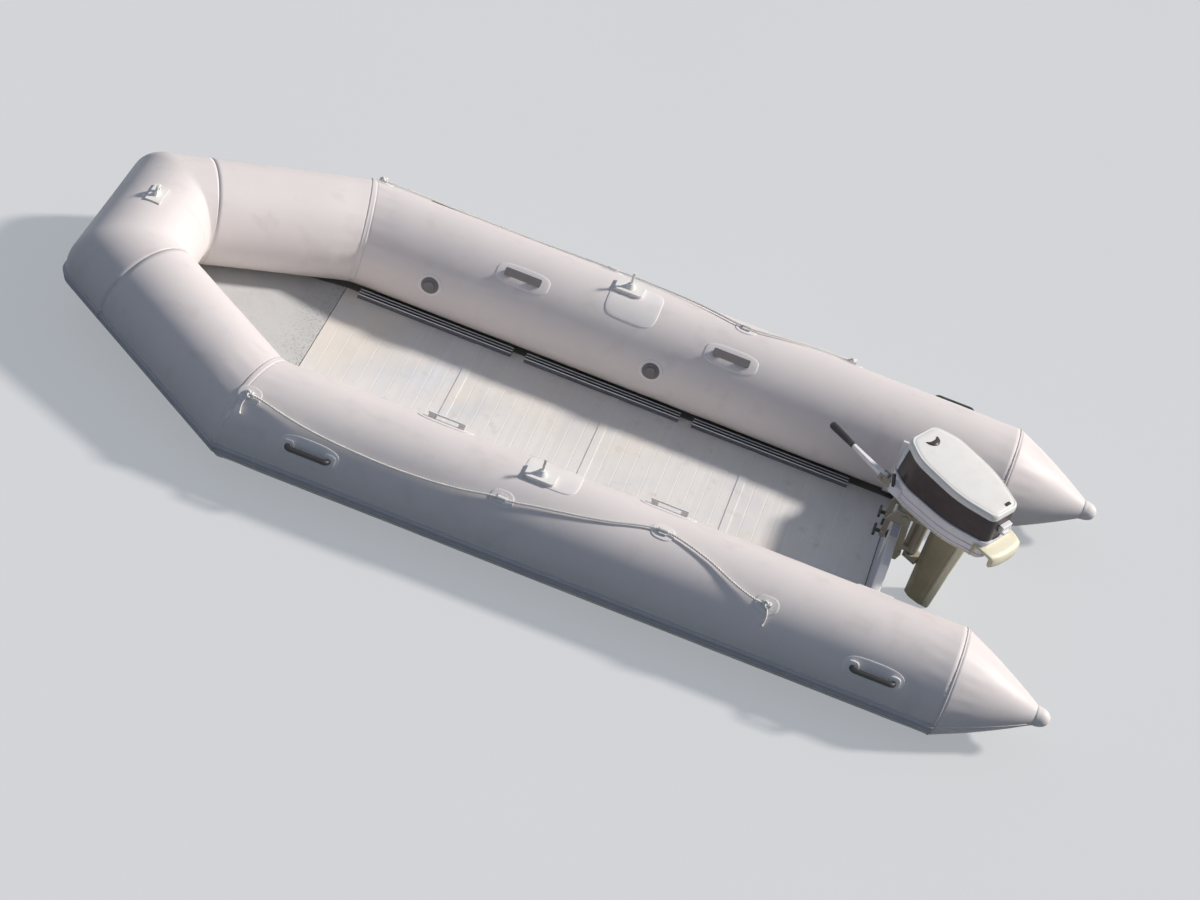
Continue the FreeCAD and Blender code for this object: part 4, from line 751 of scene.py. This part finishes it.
def smooth_line(name, points):
    """Points read from a NURBS line with these control points."""
    curve = bpy.data.curves.new(name, "CURVE")
    curve.dimensions = "3D"
    curve.resolution_u = 12
    spline = curve.splines.new("NURBS")
    spline.points.add(len(points) - 1)
    for spot, p in zip(spline.points, points):
        spot.co = (*p, 1.0)
    spline.order_u = 3
    spline.use_endpoint_u = True
    holder = added(name, curve)
    line = bpy.data.meshes.new_from_object(holder)
    spots = [v.co.copy() for v in line.vertices]
    bpy.data.objects.remove(holder)
    bpy.data.curves.remove(curve)
    bpy.data.meshes.remove(line)
    return spots


def resampled(spots, pitch):
    """Evenly spaced points along a line."""
    total = sum((b - a).length for a, b in zip(spots, spots[1:]))
    count = max(2, round(total / pitch))
    even = [spots[0].copy()]
    gone = 0.0
    for a, b in zip(spots, spots[1:]):
        run = (b - a).length
        while len(even) < count and gone + run >= len(even) * total / count:
            even.append(a.lerp(b, (len(even) * total / count - gone) / run))
        gone += run
    even.append(spots[-1].copy())
    return even


def carried_frames(spots):
    """(point, one normal, the other) along a line, without twist."""
    result = []
    normal = None
    for i, spot in enumerate(spots):
        ahead = spots[min(i + 1, len(spots) - 1)] - spots[max(i - 1, 0)]
        ahead.normalize()
        if normal is None:
            normal = ahead.orthogonal().normalized()
        normal = (normal - ahead * normal.dot(ahead)).normalized()
        result.append((spot, normal.copy(), ahead.cross(normal)))
    return result


def tube_along(spots, radius, sides):
    """A plain round tube along points; radius may be a function of the share along it."""
    loops = []
    for i, (spot, a, b) in enumerate(carried_frames(spots)):
        r = radius(i / (len(spots) - 1)) if callable(radius) else radius
        loops.append([spot + a * (r * math.cos(t)) + b * (r * math.sin(t))
                      for t in [2 * math.pi * k / sides for k in range(sides)]])
    return rings(loops)


def laid_rope(spots, radius, lay=0.034, sides=6):
    """Three strands twisted round points that lie evenly along a line."""
    parts = []
    strand = radius * 0.53
    step = (spots[1] - spots[0]).length
    for k in range(3):
        line = []
        for i, (spot, a, b) in enumerate(carried_frames(spots)):
            t = 2 * math.pi * (k / 3 + i * step / lay)
            line.append(spot + (a * math.cos(t) + b * math.sin(t)) * (radius - strand))
        parts.append(tube_along(line, strand, sides))
    return merged(parts)


def knot_and_tail(side, x, angle, lead):
    """A small knot on the eye with its loose end hanging down the tube."""
    middle = on_tube(side, x, math.radians(angle), 0.016)
    out = (on_tube(side, x, math.radians(angle), 1.0) - middle).normalized()
    around = X_AXIS.cross(out)
    size = 0.0105
    loop = []
    for k in range(48):
        t = 2 * math.pi * k / 48
        u = math.sin(t) + 2 * math.sin(2 * t)
        v = math.cos(t) - 2 * math.cos(2 * t)
        w = -math.sin(3 * t)
        loop.append(middle + X_AXIS * (u * size * 0.42) + around * (v * size * 0.42) + out * (w * size * 0.45))
    knot = tube_along(loop + loop[:2], ROPE_R * 0.8, 8)
    tail_points = []
    for dx, da, above in TAIL:
        tail_points.append(on_tube(side, x + lead * dx, math.radians(angle + da), above))
    tail = tube_along(resampled(smooth_line("tail", tail_points), 0.004),
                      lambda s: ROPE_R * (0.8 + (0.5 if s > 0.93 else 0.0)), 8)
    return merged([knot, tail])


rope_lengths = []
for name, side in SIDES:
    route = [on_tube(side, x / 1000, math.radians(angle), ROPE_OFF) for x, angle in ROPE]
    line = resampled(smooth_line("route_" + name, route), 0.004)
    length = sum((b - a).length for a, b in zip(line, line[1:]))
    rope_lengths.append(length)
    rope = mesh("rope_" + name, *laid_rope(line, ROPE_R), "rope", replaces=("lifeline_" + name,))
    ends = merged([knot_and_tail(side, *EYES[0], 1), knot_and_tail(side, *EYES[-1], -1)])
    knots = mesh("rope_ends_" + name, *ends, "rope")


# The motor's covers, drawn in the motor's own directions: X ahead of the steering axis, Z above the tilt axis
STEERING = Vector((-1.452, 0.0, 0.385))
YAW = Matrix.Rotation(math.radians(-30), 3, "Z")


def on_motor(x, y, z):
    return STEERING + YAW @ Vector((x, y, z))


def fillet(points, steps_each):
    """A closed loop of (x, y) through corners (x, y, radius), each rounded."""
    loop = []
    count = len(points)
    for i, (x, y, radius) in enumerate(points):
        here = Vector((x, y))
        before = (Vector(points[i - 1][:2]) - here).normalized()
        after = (Vector(points[(i + 1) % count][:2]) - here).normalized()
        half = before.angle(after) / 2
        centre = here + (before + after).normalized() * (radius / math.sin(half))
        start = here + before * (radius / math.tan(half)) - centre
        end = here + after * (radius / math.tan(half)) - centre
        sweep = math.atan2(start.cross(end), start.dot(end))
        for k in range(steps_each + 1):
            a = sweep * k / steps_each
            c, s = math.cos(a), math.sin(a)
            loop.append(centre + Vector((start.x * c - start.y * s, start.x * s + start.y * c)))
    return loop


def cowl_loop(front, back, half, nose, tail, grow=0.0):
    """The cowl's outline from above, grown outward on all sides."""
    f, b, h = front + grow, -back - grow, half + grow
    n, t = nose + grow, tail + grow
    return fillet([
        (f, -n, 0.046), (f * 0.42, -h, 0.19), (b * 0.48, -h, 0.42), (b, -t, 0.036),
        (b, t, 0.036), (b * 0.48, h, 0.42), (f * 0.42, h, 0.19), (f, n, 0.046),
    ], 10)


def cowl_strip(low, high, grow, keep=None):
    """A thin strip on the cowl between two (height, front, back, half, nose, tail, lean) rows."""
    edges = []
    outs = (-0.001, grow * 0.6, grow)
    for row, out in [(low, out) for out in outs] + [(high, out) for out in outs[::-1]]:
        z, lean = row[0], row[6]
        loop = cowl_loop(*row[1:6], grow=out)
        if out == grow:
            z += 0.0008 if row is low else -0.0008
        edges.append([(p.x, p.y, z + lean * p.x) for p in loop])
    columns = []
    for k in range(len(edges[0])):
        spot = edges[0][k]
        if keep is None or keep(spot):
            columns.append([on_motor(*edge[k]) for edge in edges])
    return rings(columns, closed=keep is None)


def between(low, high, share):
    return tuple(a + (b - a) * share for a, b in zip(low, high))


# Height, front, back, half-widths at the middle, nose and tail, and lean
PAN_ROWS = (
    (0.058, 0.120, 0.252, 0.096, 0.066, 0.056, 0.0), (0.066, 0.152, 0.286, 0.122, 0.078, 0.070, 0.0),
    (0.078, 0.176, 0.312, 0.138, 0.088, 0.080, 0.0), (0.090, 0.182, 0.322, 0.144, 0.090, 0.083, 0.0),
)
LOWER_ROWS = ((0.090, 0.180, 0.321, 0.142, 0.090, 0.083, 0.0), (0.172, 0.182, 0.320, 0.141, 0.091, 0.084, 0.0))
BAND_ROWS = ((0.172, 0.179, 0.317, 0.138, 0.089, 0.082, 0.0), (0.290, 0.171, 0.306, 0.126, 0.079, 0.073, 0.05))


def on_nose(spot):
    return spot[0] > 0.137


def cowl_shell(rows, closed_top=False):
    """A smooth cowl wall through rows; a closed one gets a crown that falls a little to its edge."""
    loops = []
    for row in rows:
        loops.append([on_motor(p.x, p.y, row[0] + row[6] * p.x) for p in cowl_loop(*row[1:6])])
    if not closed_top:
        inner = tuple(v - (0.006 if 0 < i < 6 else 0.0) for i, v in enumerate(rows[-1]))
        loops.append([on_motor(p.x, p.y, inner[0] + inner[6] * p.x) for p in cowl_loop(*inner[1:6])])
        return rings(loops, caps=False)
    z, front, back, half, nose, tail, lean = rows[-1]
    middle_x = (front - back) / 2
    for share in (0.93, 0.8, 0.6, 0.35, 0.08):
        loop = []
        for p in cowl_loop(front, back, half, nose, tail):
            x = middle_x + (p.x - middle_x) * share
            rise = 0.0035 * (1 - share ** 2.2)
            loop.append(on_motor(x, p.y * share, z + lean * x + rise))
        loops.append(loop)
    points, faces = rings(loops, caps=False)
    faces.append(tuple(range(len(points) - len(loops[0]), len(points))))
    return points, faces


# The cover's rows: a short wall under a soft shoulder, and a flat lid that slopes aft
COVER = (
    (0.2885, 0.173, 0.308, 0.1285, 0.081, 0.075, 0.05),
    (0.2925, 0.1735, 0.3085, 0.129, 0.081, 0.075, 0.05),
    (0.306, 0.173, 0.308, 0.128, 0.0805, 0.0745, 0.052),
    (0.314, 0.1715, 0.3065, 0.1265, 0.079, 0.073, 0.055),
    (0.3185, 0.169, 0.304, 0.124, 0.0765, 0.0705, 0.058),
    (0.3205, 0.165, 0.300, 0.120, 0.0725, 0.0665, 0.06),
    (0.3192, 0.1635, 0.2985, 0.1185, 0.071, 0.065, 0.06),
    (0.3192, 0.162, 0.297, 0.117, 0.0695, 0.0635, 0.06),
    (0.3206, 0.160, 0.295, 0.115, 0.0675, 0.0615, 0.06),
)
mesh("cowl_cover", *cowl_shell(COVER, True), "cowl_white", body="motor", replaces=("cowl_top",))
band_wall = [between(*BAND_ROWS, s) for s in (0.0, 0.04, 0.5, 0.96, 1.0)]
mesh("cowl_band_wall", *cowl_shell(band_wall), "cowl_dark", body="motor", replaces=("cowl_band",))
lower_wall = [between(*LOWER_ROWS, s) for s in (0.0, 0.04, 0.5, 0.96, 1.0)]
mesh("lower_cowl_wall", *cowl_shell(lower_wall), "cowl_grey", body="motor", replaces=("lower_cowl",))
trim = cowl_strip(between(*LOWER_ROWS, 0.86), LOWER_ROWS[1], 0.003)
mesh("cowl_trim", *trim, "cowl_trim", body="motor")
nose_plate = cowl_strip(between(*BAND_ROWS, 0.02), between(*BAND_ROWS, 0.98), 0.0022, on_nose)
mesh("cowl_nose", *nose_plate, "cowl_trim", body="motor")
ribs = []
for low, high in ((0.12, 0.17), (0.45, 0.5)):
    ribs.append(cowl_strip(between(*LOWER_ROWS, low), between(*LOWER_ROWS, high), 0.002))
mesh("cowl_ribs", *merged(ribs), "cowl_rib", body="motor")
pan_loops = []
for row in PAN_ROWS:
    pan_loops.append([on_motor(p.x, p.y, row[0]) for p in cowl_loop(*row[1:6])])
mesh("pan_shell", *rings(pan_loops), "cream_paint", body="motor", replaces=("bottom_pan",))


def lid_height(x):
    """The crowned lid's height along its middle, X ahead of the steering axis."""
    return COVER[-1][0] + COVER[-1][6] * x + 0.0032


# Painted shade: a dark crescent laid on the lid's front stands for the finger hole's shaded recess, and a
# small dark block at its back for a notch
crescent = []
for k in range(25):
    a = math.pi * (0.62 + 0.76 * k / 24)
    wide = 0.0125 * math.sin(math.pi * k / 24) + 0.0006
    for radius in (0.036 + wide, 0.036 - wide):
        x = 0.134 + radius * math.cos(a)
        crescent.append((x, radius * math.sin(a)))
points = []
for height in (0.0008, -0.003):
    points += [on_motor(x, y, lid_height(x) + height) for x, y in crescent]
count = len(crescent)
faces = []
for k in range(0, count - 2, 2):
    faces.append((k, k + 1, k + 3, k + 2))
    faces.append((count + k, count + k + 2, count + k + 3, count + k + 1))
    faces.append((k, k + 2, count + k + 2, count + k))
    faces.append((k + 1, count + k + 1, count + k + 3, k + 3))
mesh("finger_hole", points, faces, "cowl_dark", body="motor")


def soft_box(size, middle, slot, name, radius=0.006, turn=0.0):
    """A moulded block with rounded edges, in the motor's directions."""
    work = bmesh.new()
    bmesh.ops.create_cube(work, size=1.0)
    for vert in work.verts:
        vert.co = Vector((vert.co.x * size[0], vert.co.y * size[1], vert.co.z * size[2]))
    bmesh.ops.bevel(work, geom=work.edges[:], offset=radius, segments=4, profile=0.7, affect="EDGES")
    lean = Matrix.Rotation(math.radians(turn), 3, "Y")
    points = [on_motor(*(Vector(middle) + lean @ vert.co)) for vert in work.verts]
    work.verts.index_update()
    faces = [tuple(vert.index for vert in face.verts) for face in work.faces]
    work.free()
    mesh(name, points, faces, slot, body="motor")


soft_box((0.024, 0.062, 0.034), (-0.318, -0.012, 0.218), "cowl_trim", "cowl_latch", turn=-6)
soft_box((0.012, 0.04, 0.012), (-0.332, -0.012, 0.200), "white_plastic", "latch_tongue", radius=0.004)
# Painted shade: the notch is a dark block on the lid, not a cut
NOTCH_X = -0.281
notch = (NOTCH_X, -0.03, lid_height(NOTCH_X) - 0.001)
soft_box((0.014, 0.026, 0.004), notch, "cowl_dark", "lid_notch", radius=0.0012)
soft_box((0.058, 0.044, 0.05), (0.112, 0.122, 0.117), "cowl_trim", "shift_housing", radius=0.01)
soft_box((0.014, 0.012, 0.058), (0.132, 0.141, 0.158), "black_plastic", "shift_lever", radius=0.005, turn=18)
soft_box((0.012, 0.03, 0.014), (0.186, 0.02, 0.122), "black_plastic", "choke_knob", radius=0.005)

# The carry handle: a shallow moulded lip that stands out behind the pan, hollow underneath
loops = []
for reach, half, z in (
    (0.280, 0.106, 0.084), (0.280, 0.106, 0.146), (0.318, 0.104, 0.146), (0.348, 0.100, 0.143),
    (0.368, 0.095, 0.138), (0.376, 0.090, 0.128), (0.376, 0.088, 0.092), (0.370, 0.086, 0.084),
    (0.360, 0.084, 0.088), (0.356, 0.082, 0.116), (0.332, 0.084, 0.124), (0.300, 0.086, 0.118),
):
    loop = []
    for t in steps(-1, 1, 24):
        bulge = 0.012 * (1 - abs(t) ** 2.6)
        ease = (1 - abs(t) ** 6)
        loop.append(on_motor(-reach - bulge * (reach > 0.33) - 0.002 * ease, half * t, z))
    loops.append(loop)
sections = [[loop[k] for loop in loops] for k in range(len(loops[0]))]
mesh("rear_lip", *rings(sections), "leg_edge", body="motor", replaces=("carry_handle",))

# The drive leg: broad under the pan, narrower down to the gearcase, with a painted highlight down its back: a
# bright cream strip where the sun catches the rounded aft edge
# Height, front and back behind the steering axis, and half-width
LEG_ROWS = (
    (0.060, 0.040, 0.226, 0.052), (0.020, 0.047, 0.218, 0.044), (-0.010, 0.048, 0.212, 0.040),
    (-0.180, 0.048, 0.192, 0.033), (-0.380, 0.050, 0.172, 0.026), (-0.464, 0.048, 0.176, 0.024),
)
# The painted highlight strip's points across the leg's back: ahead of it in metres, and share of its
# half-width
LEG_HIGHLIGHT = (
    (0.024, -0.66), (0.010, -0.52), (-0.001, -0.28), (-0.003, 0.0),
    (-0.001, 0.28), (0.010, 0.52), (0.024, 0.66),
)


def leg_loop(front, back, half):
    """The leg's outline from above, between its front and back behind the steering axis."""
    corners = [
        (-front, -half * 0.5, half * 0.42), (-front - 0.034, -half, 0.04),
        (-back + 0.04, -half * 0.8, 0.04), (-back, -half * 0.24, half * 0.2),
    ]
    corners += [(x, -y, radius) for x, y, radius in corners[::-1]]
    return fillet(corners, 8)


leg_loops = []
for z, front, back, half in LEG_ROWS:
    leg_loops.append([on_motor(p.x, p.y, z) for p in leg_loop(front, back, half)])
mesh("leg_shell", *rings(leg_loops), "leg_paint", body="motor", replaces=("drive_leg",))
# Painted highlight: the bright cream strip down the leg's back
loops = []
for z, front, back, half in LEG_ROWS[:-1]:
    loops.append([on_motor(-back + x, y * half, z) for x, y in LEG_HIGHLIGHT])
mesh("leg_edge", *rings(loops), "leg_edge", body="motor")

# The transom's pale top edge: Y and drop below the top along it, and (X, Z) round its section
TRANSOM_AFT = round(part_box("transom_board")[0].x, 4)
TRANSOM_TOP = round(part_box("transom_board")[1].z, 4)
EDGE_RUN = ((0.153, 0.0), (0.329, 0.0), (0.334, 0.003), (0.384, 0.05), (0.392, 0.055), (0.452, 0.055))
EDGE_SECTION = (
    (-0.001, -0.012), (-0.0025, 0.001), (0.004, 0.004), (0.028, 0.004), (0.0345, 0.001), (0.033, -0.012),
)
edges = []
for name, side in SIDES:
    loops = []
    for y, drop in EDGE_RUN:
        loops.append([Vector((TRANSOM_AFT + x, side * y, TRANSOM_TOP - drop + z)) for x, z in EDGE_SECTION])
    edges.append(rings(loops))
mesh("transom_edge", *merged(edges), "board_edge")


# Rigid pieces of the frame keep their shapes: edges are eased and each takes its finish
BEVEL = {"gearcase": 0.003, "tiller_arm": 0.002, "clamp_bracket": 0.002}
# Pieces whose colour differs from the rest of their slot
OWN = {
    "transom_holders": FINISH["patch_fabric"],
    "tiller_arm": EXTRA["board_edge"][1],
    "stringer_port": channel,
    "stringer_starboard": channel,
    "bow_board": bow_grey,
    "floor_joints": FINISH["floor_metal"],
    "inner_handles": grips,
    "clamp_screws": FINISH["black_plastic"],
}


def dress(node, slot):
    piece = frame["nodes"][node]
    finish = OWN.get(node) or FINISH[slot]
    piece.data.materials.clear()
    piece.data.materials.append(finish.material)
    weld = piece.modifiers.new("weld", "WELD")
    weld.merge_threshold = 0.00002
    ease = piece.modifiers.new("ease", "BEVEL")
    ease.width = BEVEL.get(node, 0.0012)
    ease.segments = 2
    ease.limit_method = "ANGLE"
    ease.angle_limit = math.radians(32)
    ease.use_clamp_overlap = True
    level = piece.modifiers.new("level", "WEIGHTED_NORMAL")
    level.keep_sharp = False


for part in frame["record"]["subparts"]:
    dress(part["node"], part["material_slot"])


# Stage: a pale floor at the waterline, open where the boat's own floor lies below it
def stage_floor():
    port = [(BOTTOM_X - 0.016, TUBE_Y), (QUARTER_START, TUBE_Y), (1.45, 0.51)]
    hole = port + [(x, -y) for x, y in port[::-1]]
    reach = 60.0
    rim = [(-reach, reach), (0.0, reach), (reach, reach), (reach, -reach), (0.0, -reach), (-reach, -reach)]
    points = [Vector((x, y, 0)) for x, y in hole + rim]
    count = len(hole)
    faces = [(i, (i + 1) % count, count + (i + 1) % count, count + i) for i in range(count)]
    data = bpy.data.meshes.new("stage_floor")
    data.from_pydata([tuple(p) for p in points], [], faces)
    floor = added("stage_floor", data)
    paint = Surface("stage_paint", "dcdcdc", 0.7, specular=0.2)
    paint.tint(paint.span(paint.cloud(0.6, 3.0), 0.4, 0.7, 0.0, 0.15), "d4d5d6")
    # Seen straight it is pale, with a soft shadow, and it throws little light back up
    paint.tint(paint.node("LightPath").outputs["Is Diffuse Ray"], "475157")
    glow = paint.node("Emission", {"Color": rgb("d6dade"), "Strength": 1.0})
    share = paint.times(shown(paint.tree), 0.5)
    blend = paint.node("MixShader", {0: share, 1: paint.shader.outputs[0], 2: glow.outputs[0]})
    paint.tree.links.new(blend.outputs[0], paint.tree.nodes["Material Output"].inputs["Surface"])
    data.materials.append(paint.material)


stage_floor()


# Light: a wide soft sun from aft and above, and an even, slightly cool sky
sun = added("sun", bpy.data.lights.new("sun", "SUN"))
sun.data.energy = 3.7
sun.data.angle = math.radians(6)
sun.data.color = (1.0, 0.94, 0.88)
sun.rotation_mode = "QUATERNION"
sun.rotation_quaternion = Vector((-1.2, -0.65, 1.0)).to_track_quat("Z", "Y")

world = bpy.data.worlds.new("sky")
bpy.context.scene.world = world
world.use_nodes = True
tree = world.node_tree
ambient = tree.nodes["Background"]
ambient.inputs["Color"].default_value = (0.62, 0.76, 1.0, 1.0)
ambient.inputs["Strength"].default_value = 0.27
pale = add_node(tree, "Background", {"Color": (0.86, 0.87, 0.88, 1.0)})
choice = add_node(tree, "MixShader", {0: shown(tree), 1: ambient.outputs[0], 2: pale.outputs[0]})
tree.links.new(choice.outputs[0], tree.nodes["World Output"].inputs["Surface"])

# Camera: the photograph's place and roll, turned to the boat, with a longer lens
EYE = Vector((-0.6564, 8.5843, 7.6146))
VIEW_RIGHT = Vector((-0.89842, -0.42724, 0.10152))
VIEW_UP = Vector((0.3623, -0.5905, 0.72114))
VIEW_AHEAD = Vector((0.24816, -0.68467, -0.68531))
PHOTO_FOCAL = 1051
PHOTO_MIDDLE = (600, 450)
BOAT_MIDDLE = (827, 466)
ENLARGED = 2.63
SENSOR = 36.0
ahead = VIEW_AHEAD * PHOTO_FOCAL + VIEW_RIGHT * (BOAT_MIDDLE[0] - PHOTO_MIDDLE[0])
ahead -= VIEW_UP * (BOAT_MIDDLE[1] - PHOTO_MIDDLE[1])
ahead.normalize()
right = ahead.cross(VIEW_UP).normalized()
up = right.cross(ahead)
camera = added("camera", bpy.data.cameras.new("camera"))
camera.matrix_world = Matrix.Translation(EYE) @ Matrix((right, up, -ahead)).transposed().to_4x4()
camera.data.sensor_width = SENSOR
camera.data.lens = SENSOR * PHOTO_FOCAL / (2 * PHOTO_MIDDLE[0]) * ENLARGED
bpy.context.scene.camera = camera
bpy.context.scene.view_settings.view_transform = "Standard"

print("lifelines", [round(length, 4) for length in rope_lengths])
